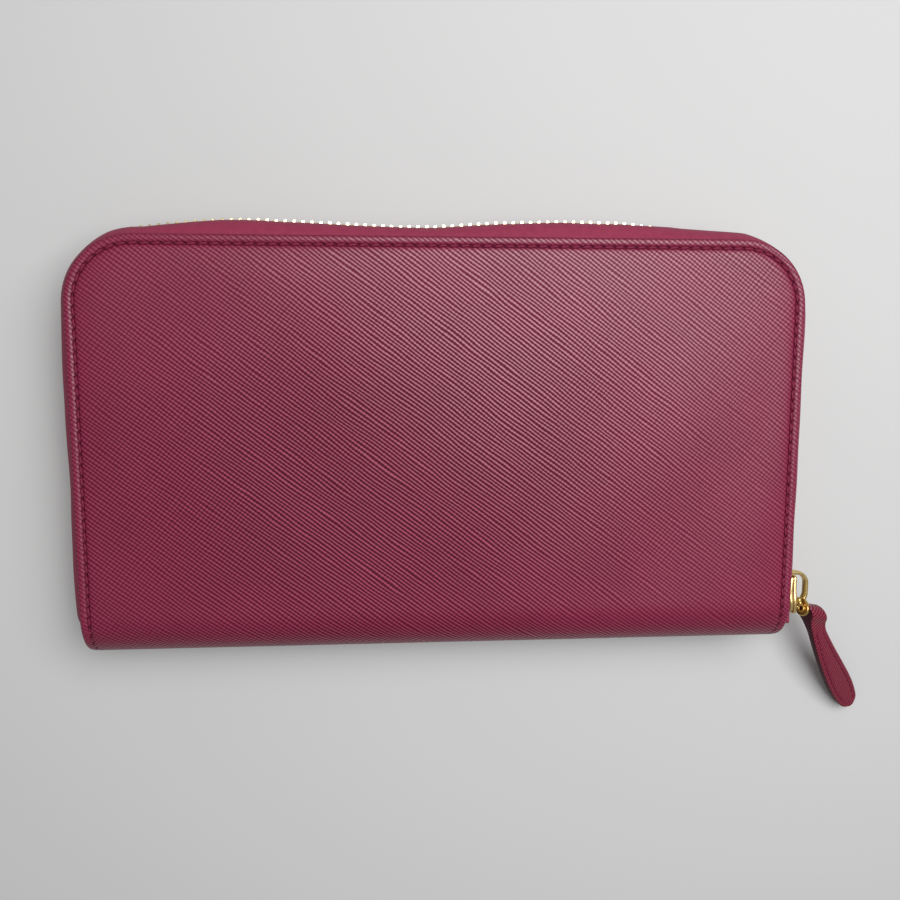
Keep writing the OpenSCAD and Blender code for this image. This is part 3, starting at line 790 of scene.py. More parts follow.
# How far the chain's plane stands outside the covers' edge at distance s.
def chainOut(s):
    knots = [(-12, 3.6), (sideLen - 2, 3.6), (sideLen + cornerLen * 0.22, 2.4),
             (sideLen + cornerLen * 0.5, 1.1)]
    knots += [(topStart + cornerX - x, out) for x, out in zipSet["wave"]]
    knots.append((topStart + topLen + cornerLen * 0.5, 1.2))
    leftSide = topStart + topLen + cornerLen
    knots += [(leftSide + a, out) for a, out in ((4, 2.3), (20, 2.7), (50, 2.3), (68, 2.7), (82, 2.3),
                                                 (100, 1.2))]
    return roundedInterp(s, knots, 900, 17)


# How full the tape is at distance s: 0 is a taut slope from the cover to the chain, above 1 it swells past
# the chain.
def fullness(s):
    topEnd = topStart + topLen
    knots = [(-12, 0), (sideLen, 0), (sideLen + cornerLen * 0.45, 0.6), (topStart - 2, 1.3),
             (topStart + 18, 1.4),
             (topStart + 28, 1.0), (topEnd - 2, 1.0), (topEnd + 6, 1.25), (topEnd + cornerLen, 1.1),
             (pathEnd - 60, 1.0), (pathEnd, 0.9)]
    xs, ys = np.array(knots).T
    return np.interp(s, xs, ys)


# Section of a tape, (outside the edge, height), from inside the cover to the chain.
# k is 1 at the free ends, which lie past the spine's axis.
def tapeProfile(out, k, full):
    edge = midZ - zipSet["chainGap"]
    zs = np.array([1.45, 1.45, 1.5, 1.85, 2.35, 3.2, 4.5, 6.2, 7.8, 9.4, edge])
    taut = np.array([-5.0 / out, -2.0 / out, -0.5 / out, 0.03, 0.16, 0.34, 0.55, 0.78, 0.95, 1.0, 1.0]) * out
    plump = np.array([-5.0 / out, -2.0 / out, -0.4 / out, 0.10, 0.32, 0.62, 0.86, 0.98, 1.0, 1.0, 1.0]) * out
    swell = np.array([0, 0, 0, 0.0, 0.05, 0.2, 0.55, 0.95, 1.0, 0.6, 0.0]) * 2.3
    xs = taut + (plump - taut) * min(full, 1) + swell * max(full - 1, 0)
    base = np.stack([xs, zs], 1)
    free = np.array([(out - 1.6, 7.1), (out - 1.3, 7.2), (out - 1.0, 7.25), (out - 0.7, 7.3),
                     (out - 0.45, 7.4),
                     (out - 0.25, 7.6), (out - 0.1, 7.9), (out, 8.3), (out, 8.9), (out, 9.8), (out, edge)])
    return resample(base * (1 - k) + free * k, 30)


# Thickens a section into a closed loop of points, away from the wallet first.
def thickened(line, half):
    tangent = unit(np.gradient(line, axis=0))
    across = np.stack([tangent[:, 1], -tangent[:, 0]], 1)
    return np.vstack([line + across * half[:, None], (line - across * half[:, None])[::-1]])


def makeTape(name, front):
    s = np.arange(-8.2, pathEnd + 8.2, 0.9)
    plan, normal = edgePath.at(s)
    outs, fulls = chainOut(s), fullness(s)
    half = zipSet["tapeThickness"] / 2
    rings, uvs = [], []
    for i, (p, n, out) in enumerate(zip(plan, normal, outs)):
        k = float(smoothstep((axisY - p[1]) / 6.0))
        prof = tapeProfile(out, k, fulls[i])
        ripple = 0.12 * math.sin(s[i] * 0.23) * math.sin(s[i] * 0.071)
        prof[:, 0] += ripple * np.sin(np.linspace(0, math.pi, len(prof)))
        prof = softened(prof, 2)
        thick = np.full(len(prof), half)
        thick[-2:] = half * 1.5                                    # beaded edge beside the teeth
        loop = thickened(prof, thick)
        z = loop[:, 1] if not front else fullT - loop[:, 1]
        rings.append(np.column_stack([p + n * loop[:, :1], z]))
        length = runLength(prof)
        uvs.append(np.column_stack([np.full(2 * len(prof), s[i]), np.concatenate([length, length[::-1]])]))
    nv = len(rings[0])
    parts = Parts()
    parts.add(np.array(rings), gridFaces(len(s), nv, closeV=True).tolist() + endFaces(len(s), nv, False),
              np.array(uvs))
    return parts.build(name, [tapeFabric], "zip_tape")


# One tooth: its width outward, its length along the chain and its height. The head points up.
def toothTemplate():
    w, t = zipSet["toothHalfWidth"], zipSet["toothLength"]
    outline = [(-w, -2.75, 0.78), (-w * 1.03, -1.9, 0.95), (-w, -0.6, 1.0), (-w * 0.97, 0.1, 1.0),
               (-w * 0.82, 0.55, 0.9), (-w * 0.5, 0.82, 0.62)]
    ringPts = []
    for x, z, f in outline:
        halfT = t / 2 * f
        ringPts.append([(x * 0.8, -halfT, z), (x, -halfT * 0.7, z), (x, halfT * 0.7, z), (x * 0.8, halfT, z),
                        (-x * 0.8, halfT, z), (-x, halfT * 0.7, z), (-x, -halfT * 0.7, z),
                        (-x * 0.8, -halfT, z)])
    faces = gridFaces(len(outline), 8, closeV=True).tolist() + endFaces(len(outline), 8, False)
    return np.array(ringPts).reshape(-1, 3), faces


def makeTeeth(name, front):
    base, baseFaces = toothTemplate()
    # the first tooth stands just past the slider's diamond
    start = 0.775 + (zipSet["pitch"] / 2 if front else 0)
    chainLength = np.linspace(-12, pathEnd, 2400)
    plan, normal = edgePath.at(chainLength)
    real = plan + normal * chainOut(chainLength)[:, None]
    run = runLength(real)
    s0, s1 = np.interp((start, pathEnd + 2.5), chainLength, run)
    places = np.arange(s0, s1, zipSet["pitch"])
    s = np.interp(places, run, chainLength)
    plan, normal = edgePath.at(s)
    centre = plan + normal * chainOut(s)[:, None]
    ahead = unit(lookUp(places + 0.4, run, real) - lookUp(places - 0.4, run, real))
    out = np.stack([ahead[:, 1], -ahead[:, 0]], 1)
    parts = Parts()
    for c, a, o in zip(centre, ahead, out):
        z = midZ + base[:, 2] if not front else midZ - base[:, 2]
        jitter = rng.normal(0, 0.03, 2)
        xy = c + o * (base[:, :1] + jitter[0]) + a * (base[:, 1:2] + jitter[1])
        parts.add(np.column_stack([xy, z]), baseFaces, base[:, :2])
    obj = parts.build(name, [toothMetal], "gold_metal", weld=False, outward=True)
    sharpen(obj, 50)
    return obj


for front in (False, True):
    side = "Front" if front else "Rear"
    tape, teeth = makeTape("ZipTape" + side, front), makeTeeth("ZipTeeth" + side, front)
    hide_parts("zip_tape_" + side.lower())
    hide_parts("zip_teeth_" + side.lower())
    if front:
        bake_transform(tape)
        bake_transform(teeth)
    else:
        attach(tape, "rear_cover")
        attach(teeth, "rear_cover")
print("zip ready")


# stitches of the covers' edge seam
edgeSeam = {
    "pitch": 2.85,
    "length": 2.5,
    "radius": 0.34,
    "slant": -7,            # degrees
}


def makeStitches(name, front):
    inset, pitch, length = leather["seamInset"], edgeSeam["pitch"], edgeSeam["length"]
    turn = math.radians(edgeSeam["slant"])
    sideY = np.linspace(axisY, cornerY, 300)
    arc = np.linspace(0, math.pi / 2, 80)
    topX = np.linspace(cornerX, -cornerX, 500)
    line = edgeLine(inset, sideY, arc, topX)
    run = runLength(line)
    parts = Parts()
    sections, around = 9, 8
    t = np.linspace(-0.5, 0.5, sections)
    for i in range(int((run[-1] + 4) / pitch) + 1):
        mid = i * pitch                             # stitches lie between the holes
        s = mid + t * length * math.cos(turn)
        d = inset + t * length * math.sin(-turn)
        onLine = np.clip(s, 0, run[-1])
        ahead = unit(lookUp(np.clip(s + 0.2, 0, run[-1]), run, line)
                     - lookUp(np.clip(s - 0.2, 0, run[-1]), run, line))
        inward = np.stack([-ahead[:, 1], ahead[:, 0]], 1)
        px, py = (lookUp(onLine, run, line) + inward * (d - inset)[:, None]).T
        arch = 0.24 * np.sqrt(np.maximum(1 - (2 * t) ** 2, 0)) - 0.46
        radius = edgeSeam["radius"] * np.sqrt(np.maximum(1 - (2 * t) ** 4, 0.02))
        angle = np.abs(s - onLine) / midZ           # past the ends the seam turns down round the spine
        rings = []
        for j in range(sections):
            h = arch[j] + 0.06
            up = np.array([0.0, -math.sin(angle[j]), math.cos(angle[j])])
            fwd = np.array([ahead[j, 0], ahead[j, 1], 0.0])
            if angle[j] > 0:
                centre = np.array([px[j], axisY - (midZ + h) * math.sin(angle[j]),
                                   midZ + (midZ + h) * math.cos(angle[j])])
                fwd = np.array([0.0, math.cos(angle[j]), math.sin(angle[j])])
            else:
                centre = np.array([px[j], py[j], fullT + h])
            sideways = np.cross(up, fwd)
            for q in range(around):
                a = 2 * math.pi * q / around
                rings.append(centre + radius[j] * (sideways * math.cos(a) * 1.05 + up * math.sin(a) * 0.72))
        v = np.array(rings)
        if not front:
            v[:, 2] = fullT - v[:, 2] + 0.08
        uv = np.stack([np.repeat(t * length, around), np.tile(np.arange(around) / around * 2.0, sections)], 1)
        faces = gridFaces(sections, around, closeV=True, flip=front).tolist() + endFaces(sections, around)
        parts.add(v, faces, uv)
    return parts.build(name, [seamThread], "thread", weld=False, outward=True)


for front in (False, True):
    side = "Front" if front else "Rear"
    stitches = makeStitches("EdgeStitches" + side, front)
    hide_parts(side.lower() + "_stitching")
    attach(stitches, "front_cover" if front else "rear_cover")
print("stitches ready")


# slider of the outer zip
slider = {
    "length": 11.0,
    "width": 9.0,
    "chain": (98.6, -43.0, 12.5),
    "channel": 1.35,
    "plate": 1.0,
    "bridgeOut": 4.9,       # height of the bridge over the outer plate
    "bridgeLength": 10.4,
    "bridgeY": -42.0,
}


def sliderOutline(grow=0.0):
    h, n = slider["length"] / 2 + grow, slider["width"] / 2 + grow
    t = n - 0.6
    half = [(n - 1.5, -h), (n - 0.6, -h + 0.22), (n - 0.12, -h + 0.75), (n, -h + 1.5), (n, -h + 4),
            (n - 0.15, -h + 5),
            (t, -h + 6.5), (t, h - 1.1), (t - 0.15, h - 0.55), (t - 0.55, h - 0.15), (t - 1.1, h)]
    return [(-x, y) for x, y in half] + half[::-1]


def makeSlider():
    cx, cy, cz = slider["chain"]
    ch, pl = slider["channel"], slider["plate"]

    def piece(name, outline, out, depth, bevel, segments):
        obj = prism(name, outline, (cx + out, cy, cz), (0, 0, 1), (0, 1, 0), (1, 0, 0), depth, bevel,
                    goldMetal, segments)
        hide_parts("slider_body")
        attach(obj, "zip_slider")

    piece("SliderOuterPlate", sliderOutline(0.1), ch, pl, 0.42, 4)
    piece("SliderCrown", [(x * 0.62, y * 0.80) for x, y in sliderOutline()], ch + pl - 0.25, 0.55, 0.26, 3)
    piece("SliderInnerPlate", sliderOutline(), -ch - pl, pl, 0.3, 3)
    lip = [(3.3, -5.1), (4.2, -4.6), (4.42, -3.6), (4.42, -1.6), (3.85, 0.9), (3.85, 4.4), (3.5, 5.1),
           (3.3, 5.1)]
    for sign, tag in ((1, "Front"), (-1, "Rear")):
        for out, side in ((0.5, "Out"), (-ch, "In")):
            piece("SliderFlange" + tag + side, [(sign * x, y) for x, y in lip], out, ch - 0.5, 0.12, 2)
    wedge = [(-0.9, -5.4), (0.9, -5.4), (0.95, -4.2), (0.35, -2.7), (0, -2.4), (-0.35, -2.7), (-0.95, -4.2)]
    piece("SliderDivider", wedge, -ch - 0.2, 2 * ch + 0.4, 0.12, 2)


def makeBridge():
    cx = slider["chain"][0] + slider["channel"] + slider["plate"]
    r, half = 3.3, slider["bridgeLength"] / 2 - 0.55
    top = cx + slider["bridgeOut"] - 0.55
    y0, cz = slider["bridgeY"], slider["chain"][2]
    pts = [(x, y0 - half) for x in np.linspace(cx - 0.3, top - r, 5)[:-1]]
    pts += [(top - r + r * math.cos(a), y0 - half + r + r * math.sin(a))
            for a in np.linspace(-math.pi / 2, 0, 14)]
    pts += [(top, y) for y in np.linspace(y0 - half + r, y0 + half - r, 5)[1:-1]]
    pts += [(top - r + r * math.cos(a), y0 + half - r + r * math.sin(a))
            for a in np.linspace(0, math.pi / 2, 14)]
    pts += [(x, y0 + half) for x in np.linspace(top - r, cx - 0.3, 5)[1:]]
    pts = np.array([(x, y, cz) for x, y in pts])
    u = np.linspace(-1, 1, len(pts))
    # the feet are wider than the arch
    wide = 1.15 + 0.28 * np.cos(u * math.pi) ** 2 * np.abs(u) ** 3
    base = np.array(roundRect(1.1, 2.3, 0.42, 5))
    parts = Parts()
    parts.add(*tube(pts, np.stack([base * (1, w / 1.15) for w in wide]), (0, 0, 1.0)))
    obj = parts.build("SliderBridge", [goldMetal], "gold_metal")
    sharpen(obj, 50)
    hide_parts("slider_bridge")
    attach(obj, "zip_slider")


makeSlider()
makeBridge()

# link, pin and leather pull
pull = {
    "pivot": (102.75, -45.1, 12.5),
    "eye": (104.15, -47.7, 14.2),
    "pinWay": (0.90, -0.24, -0.36),
    "centre": (107.5, -49.5, 12.9),
    "tip": (126.3, -81.9, 2.4),
    "startWay": (0.30, -0.92, -0.06),
    "endWay": (0.52, -0.83, -0.24),
    "endWidthWay": (0.82, 0.54, -0.18),
    "loopRadius": 3.0,
    "loopHalf": 2.9,
    "thickness": 2.15,
    "seamInset": 1.35,
    "stitchPitch": 2.1,
    "stitchLength": 1.8,
    # (share of the length from the pin, half width)
    "edge": [(-0.1, 3.1), (0.07, 3.1), (0.12, 2.85), (0.17, 2.6), (0.25, 2.75), (0.4, 3.2), (0.55, 3.65),
             (0.7, 3.92),
             (0.8, 3.9), (0.88, 3.6), (0.94, 3.15), (0.965, 2.8), (0.985, 2.25), (0.995, 1.5), (1.0, 0.7)],
}
pivot, eye, pinWay = (np.array(pull[k]) for k in ("pivot", "eye", "pinWay"))
pinWay = unit(pinWay)


def diskOn(name, centre, axis, radius, depth, bevel, material, hole=0.0):
    axis = unit(axis)
    ex = unit(np.cross(axis, (0, 1, 0.3)))
    holes = [ring(hole, 32)[::-1]] if hole else ()
    return prism(name, ring(radius, 48), centre, ex, np.cross(axis, ex), axis, depth, bevel, material, 3,
                 holes)


def ball(name, centre, radius, material):
    bm = bmesh.new()
    bmesh.ops.create_uvsphere(bm, u_segments=24, v_segments=14, radius=radius * mm)
    mesh = bpy.data.meshes.new(name)
    bm.to_mesh(mesh)
    bm.free()
    mesh.transform(Matrix.Translation(np.asarray(centre) * mm))
    smoothFaces(mesh)
    mesh.materials.append(material)
    obj = addObject(name, mesh)
    return obj


def rodMesh(name, points, radii, material, up=(0.3, 0.1, 1)):
    parts = Parts()
    parts.add(*tube(points, np.array(ring(1.0, 16))[None] * radii[:, None, None], up))
    return parts.build(name, [material], "gold_metal")


def bezier(p0, p1, p2, p3, n):
    t = np.linspace(0, 1, n)[:, None]
    p0, p1, p2, p3 = (np.asarray(p, float) for p in (p0, p1, p2, p3))
    return (1 - t) ** 3 * p0 + 3 * (1 - t) ** 2 * t * p1 + 3 * (1 - t) * t * t * p2 + t ** 3 * p3


def makeLink():
    top, low = pivot + (0, 0, 1.9), pivot - (0, 0, 1.9)
    out = []
    out.append(rodMesh("LinkCrossbar", np.linspace(low, top, 6), np.full(6, 0.6), darkerMetal, (1, 0.2, 0)))
    # two arms spread from the bar's ends to the rim of the eye
    upArm = bezier(top, top + (0.3, -1.2, 0.1), eye + (-1.2, 2.0, 0.4), eye + (-0.9, 1.1, 0.1), 14)
    lowArm = bezier(low, low + (-0.3, -1.6, 0), eye + (-2.3, 1.0, -2.2), eye + (-1.2, 0.2, -0.5), 16)
    out.append(rodMesh("LinkUpperArm", upArm, np.linspace(0.62, 0.75, 14), darkerMetal))
    out.append(rodMesh("LinkLowerArm", lowArm, np.linspace(0.6, 0.48, 16), darkerMetal))
    out += [ball("LinkUpperKnee", top, 0.72, darkerMetal), ball("LinkLowerKnee", low, 0.72, darkerMetal)]
    # teardrop plate, its point towards the bar
    axis = pinWay
    toBar = pivot + (0, 0, 1.2) - eye
    ey = unit(toBar - axis * np.dot(toBar, axis))
    ex = np.cross(ey, axis)
    drop = []
    for i in range(40):
        a = 2 * math.pi * i / 40
        x, y = 2.2 * math.cos(a), 2.2 * math.sin(a)
        if y > 0:
            y *= 1.45
            x *= 1 - 0.35 * (y / 3.2) ** 1.5
        drop.append((x, y))
    out.append(prism("LinkTeardrop", drop, eye - axis * 0.55, ex, ey, axis, 1.15, 0.42, darkerMetal, 4))
    out.append(diskOn("LinkBoss", eye - axis * 1.05, axis, 1.2, 0.8, 0.28, darkerMetal, 0.55))
    # a thin dark disc of painted shade inside the boss's hole
    out.append(diskOn("LinkHole", eye - axis * 0.62, axis, 0.62, 0.1, 0.0, paintedEdge))
    for o in out:
        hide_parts("pull_link")
        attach(o, "zip_pull_link")
    pin = diskOn("PullPin", eye + axis * 0.5, axis, 0.9, 4.0, 0.1, darkerMetal)
    head = diskOn("PullPinHead", eye + axis * 4.6, axis, 1.3, 0.6, 0.3, darkerMetal)
    for o in (pin, head):
        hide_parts("pull_pin")
        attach(o, "zip_pull_link")


makeLink()


# Lays coordinates along, across and through the leather pull on its own gentle curve and twist.
class PullStrip:

    def __init__(self):
        start, end = np.array(pull["centre"]), np.array(pull["tip"])
        e, d = unit(pull["startWay"]), unit(pull["endWay"])
        reach = np.linalg.norm(end - start)
        self.curve = bezier(start, start + e * reach * 0.3, end - d * reach * 0.33, end, 400)
        self.run = runLength(self.curve)
        self.length = self.run[-1]
        tangent = unit(np.gradient(self.curve, axis=0))
        w0, w1 = unit(pull["pinWay"]), unit(pull["endWidthWay"])
        mix = smoothstep(self.run / self.length)[:, None]
        across = w0 * (1 - mix) + w1 * mix
        square = smoothstep(self.run / self.length / 0.3)[:, None]           # the loop sits askew on its pin
        across = unit(across - tangent * np.sum(across * tangent, axis=1, keepdims=True) * square)
        self.tangent, self.across = tangent, across
        self.normal = unit(np.cross(across, tangent))
        if self.normal[len(self.normal) // 2, 2] < 0:
            self.normal = -self.normal

    def at(self, s):
        base = lookUp(s, self.run, self.curve) + np.minimum(s, 0)[:, None] * self.tangent[0]
        base = base + np.maximum(s - self.length, 0)[:, None] * self.tangent[-1]
        return base, lookUp(s, self.run, self.across), lookUp(s, self.run, self.normal)


strip = PullStrip()


def pullHalfWidth(s):
    return roundedInterp(s / strip.length, pull["edge"], 300, 15)


def pullHalfThick(s):
    r, thick = pull["loopRadius"], pull["thickness"] / 2
    circle = np.sqrt(np.maximum(r * r - np.clip(s, -r, r) ** 2, 0))
    flat = thick * (1 - 0.3 * smoothstep((s - strip.length + 5) / 5))
    join = 1.6                                      # where the loop's circle runs into the flat of the pull
    neck = thick + (math.sqrt(r * r - join * join) - thick) * np.exp(-np.maximum(s - join, 0) / 1.9)
    return np.where(s < join, circle, np.maximum(flat, neck))


def makePull():
    parts = Parts()
    r = pull["loopRadius"]
    end = strip.length
    s = np.concatenate([-r * np.cos(np.linspace(0.02, math.pi / 2, 16)), np.linspace(0.2, 6, 20),
                        np.linspace(6.4, end - 4, 60), end - 4 * (1
                                                                  - np.sin(np.linspace(0.05, math.pi / 2,
                                                                                       18)))])
    base, across, normal = strip.at(s)
    w, t = pullHalfWidth(s), pullHalfThick(s)
    # the section goes from one rim over the face to the other rim and back beneath, with the seam's groove
    # inside the rim
    cols = [0.0, 0.06, 0.16, 0.3, 0.48, 0.75, 1.0, 1.2, 1.35, 1.5, 1.7, 2.1]
    nIn = 9
    dist = cols + [3.0] * nIn + cols[::-1]
    rings, uvs = [], []
    for i in range(len(s)):
        wi, ti = w[i], t[i]
        seamOn = float(smoothstep((s[i] - 4.0) / 3) * smoothstep((end - 2.0 - s[i]) / 2))
        bulge = 0.22 * smoothstep((s[i] - 3) / 5)
        edge = min(0.42, ti * 0.9)
        middle = np.linspace(wi - 2.1, -(wi - 2.1), nIn + 2)[1:-1]
        xs = [wi - c for c in cols] + list(middle) + [-(wi - c) for c in cols[::-1]]
        topRow, lowRow = [], []
        for x, d in zip(xs, dist):
            roundOff = edge * (1 - math.sqrt(max(0.0, 1 - (1 - min(d / 0.42, 1)) ** 2)))
            groove = 0.26 * math.exp(-((d - pull["seamInset"]) / 0.28) ** 2) * seamOn
            dome = bulge * (1 - (x / max(wi, 0.1)) ** 2)
            topRow.append((x, max(ti - roundOff - groove + dome, 0.0)))
            lowRow.append((x, -max(ti - roundOff - groove + dome * 0.4, 0.0)))
        rings.append([base[i] + across[i] * x + normal[i] * h for x, h in topRow + lowRow[::-1]])
        uvs.append([(x, s[i]) for x, h in topRow] + [(x, -s[i] - 9) for x, h in lowRow[::-1]])
    m = len(rings[0])
    half = m // 2
    painted = [int(j < 1 or half - 2 <= j < half + 1 or j >= m - 2) for j in range(m)]
    faces = gridFaces(len(s), m, closeV=True).tolist() + endFaces(len(s), m)
    parts.add(np.array(rings), faces, np.array(uvs), None, list(np.tile(painted, len(s) - 1)) + [1, 1])
    obj = parts.build("PullLeather", [pullLeather, pullEdgePaint], "outer_leather")
    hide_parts("pull_loop", "pull_face_leather", "pull_back_leather")
    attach(obj, "zip_pull_tab")


# Stitches along both rims of the pull and round its tip, on both faces.
def makePullStitches():
    parts = Parts()
    inset, pitch, length = pull["seamInset"], pull["stitchPitch"], pull["stitchLength"]
    sRun = np.linspace(6.2, strip.length - 2.6, 120)
    side = np.column_stack([sRun, pullHalfWidth(sRun) - inset])
    turn = np.linspace(0.1, math.pi - 0.1, 10)
    tip = np.column_stack([sRun[-1] + 0.9 * np.sin(turn), side[-1, 1] * np.cos(turn)])
    line = np.vstack([side, tip, side[::-1] * (1, -1)])
    run = runLength(line)
    t = np.linspace(-0.5, 0.5, 7)
    arch = 0.20 * np.sqrt(np.maximum(1 - (2 * t) ** 2, 0)) - 0.30
    radius = 0.26 * np.sqrt(np.maximum(1 - (2 * t) ** 4, 0.02))
    for face in (1, -1):
        for k in range(int(run[-1] / pitch)):
            at, off = lookUp((k + 0.5) * pitch + t * length, run, line).T
            base, across, normal = strip.at(at)
            level = pullHalfThick(at) + 0.12 + (0.02 if face > 0 else -0.08)
            centre = base + across * off[:, None] + normal * (face * (level + arch))[:, None]
            verts, faces = tube(centre, np.array(ring(1.0, 8))[None] * radius[:, None, None], normal)
            parts.add(verts, faces, np.stack([np.repeat(t * length, 8), np.tile(np.arange(8) / 4.0, 7)], 1))
    stitches = parts.build("PullStitches", [seamThread], "thread", weld=False)
    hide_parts("pull_stitching")
    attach(stitches, "zip_pull_tab")


makePull()
makePullStitches()
print("slider and pull ready")

# zip stops and the tabs at the ends of the tapes
def metalBlock(name, centre, size, bevel, bodyName, node):
    w, d, h = size
    x, y, z = centre
    outline = roundRect(w, d, min(w, d) * 0.2, 3)
    obj = prism(name, outline, (x, y, z - h / 2), (1, 0, 0), (0, 1, 0), (0, 0, 1), h, bevel, goldMetal, 2)
    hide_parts(node)
    if bodyName:
        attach(obj, bodyName)
    else:
        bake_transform(obj)


rightOut = float(chainOut(-6.0))
leftOut = float(chainOut(pathEnd + 5.5))
metalBlock("TopStopRear", (halfW + rightOut, -49.4, midZ - 2.0), (2.2, 1.3, 1.7), 0.25, "rear_cover",
           "zip_top_stop_rear")
metalBlock("TopStopFront", (halfW + rightOut, -49.4, midZ + 2.0), (2.2, 1.3, 1.7), 0.25, None,
           "zip_top_stop_front")
metalBlock("BottomStop", (-halfW - leftOut, -47.6, midZ), (2.4, 2.0, 5.0), 0.3, "rear_cover",
           "zip_bottom_stop")


# A small leather pad folded round the ends of the tapes.
def makeEndTab(side):
    out = rightOut if side > 0 else leftOut
    course = [(92.6, -51.9), (94.6, -51.8), (halfW + out * 0.62, -51.3), (halfW + out + 0.2, -50.4),
              (halfW + out + 0.5, -49.9)]
    n = 14
    path = np.column_stack([softened(resample(course, n)), np.full(n, midZ - 3.1)])
    path[:, 0] *= side
    profile = roundRect(0.9, 5.8, 0.4, 3)
    m = len(profile)
    verts, faces = tube(path, profile, (0, 0, 1.0))
    uv = np.stack([np.repeat(np.linspace(0, 1, n) * 8, m), np.tile(np.linspace(0, 12, m), n)], 1)
    parts = Parts()
    parts.add(verts, faces, uv)
    obj = parts.build("EndTabRight" if side > 0 else "EndTabLeft", [plainRed], slot="outer_leather")
    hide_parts("zip_end_tab_right" if side > 0 else "zip_end_tab_left")
    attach(obj, "rear_cover")


makeEndTab(1)
makeEndTab(-1)

# lining of both covers and the spine, one sheet
inside = {
    "liningLow": 1.8,
    "liningThick": 0.6,
    "liningInset": 0.8,
    "panelLow": 3.0,
    "panelThick": 0.6,
    "panelWidth": 178.0,
    "panelTop": 46.0,
    "pocketThick": 0.45,
    "pocketWidth": 164.0,
    "pocketTops": (38.0, 26.0, 14.0, 2.0),
    "leafFoot": -40.0,
}


def spread(lo, hi, n, near=(0.12, 0.3, 0.55, 0.85, 1.2, 1.6, 2.0, 2.5, 3.2, 4.2)):
    near = [v for v in near if v < (hi - lo) * 0.4]
    mid = np.linspace(lo + near[-1], hi - near[-1], n)[1:-1]
    return np.concatenate([[lo], lo + np.array(near), mid, hi - np.array(near[::-1]), [hi]])


def makeLining():
    low, thick, inset = inside["liningLow"], inside["liningThick"], inside["liningInset"]
    top = farY - inset
    ys = spread(axisY, top, 40)[1:]
    theta = np.linspace(math.pi, 0, 25)
    us = spread(-1, 1, 41, near=(0.002, 0.006, 0.012, 0.02, 0.03, 0.045))
    rows = [("rear", y) for y in ys[::-1]] + [("spine", a) for a in theta] + [("front", y) for y in ys]
    faceRows = []
    for side in (0, 1):                           # 0 is the face that shows, 1 the back
        verts, uvs = [], []
        for kind, v in rows:
            y = v if kind != "spine" else axisY - midZ * math.sin(v)
            r = cornerR - inset
            hw = float(halfWidthAt(y)) - inset - 0.2
            if kind != "spine" and y > cornerY:
                hw = cornerX + math.sqrt(max(r * r - (y - cornerY) ** 2, 0))
            x = us * hw
            edge = np.minimum(hw - np.abs(x), top - y if kind != "spine" else 9)
            soft = 0.22 * (1 - np.sqrt(np.maximum(1 - (1 - np.minimum(edge / 0.22, 1)) ** 2, 0)))
            ripple = 0.06 * np.sin(x * 0.19 + y * 0.11) * np.sin(y * 0.23 - x * 0.05) * smoothstep(edge / 6)
            depth = low + thick - soft + ripple if side == 0 else low + soft
            if kind == "rear":
                pts = np.stack([x, np.full(len(x), y), depth + 0 * x], 1)
            elif kind == "front":
                pts = np.stack([x, np.full(len(x), y), fullT - depth + 0 * x], 1)
            else:
                rr = midZ - depth
                pts = np.stack([x, axisY - rr * math.sin(v), midZ + rr * math.cos(v)], 1)
            run = {"rear": -(19 + v - axisY), "front": 19 + v - axisY, "spine": 19 - 12 * v}[kind]
            verts.append(pts)
            uvs.append(np.stack([x, np.full(len(x), run)], 1))
        faceRows.append((np.array(verts), np.array(uvs)))
    (face, faceUv), (back, backUv) = faceRows
    parts = Parts()
    parts.add(face, gridFaces(*face.shape[:2]), faceUv)
    parts.add(back, gridFaces(*back.shape[:2]), backUv)
    addRim(parts, face, back, faceUv, (0, 0.6))
    obj = parts.build("LiningSheet", [liningLeather], slot="lining_leather")
    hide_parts("rear_lining", "front_lining", "spine_lining")
    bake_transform(obj)


makeLining()


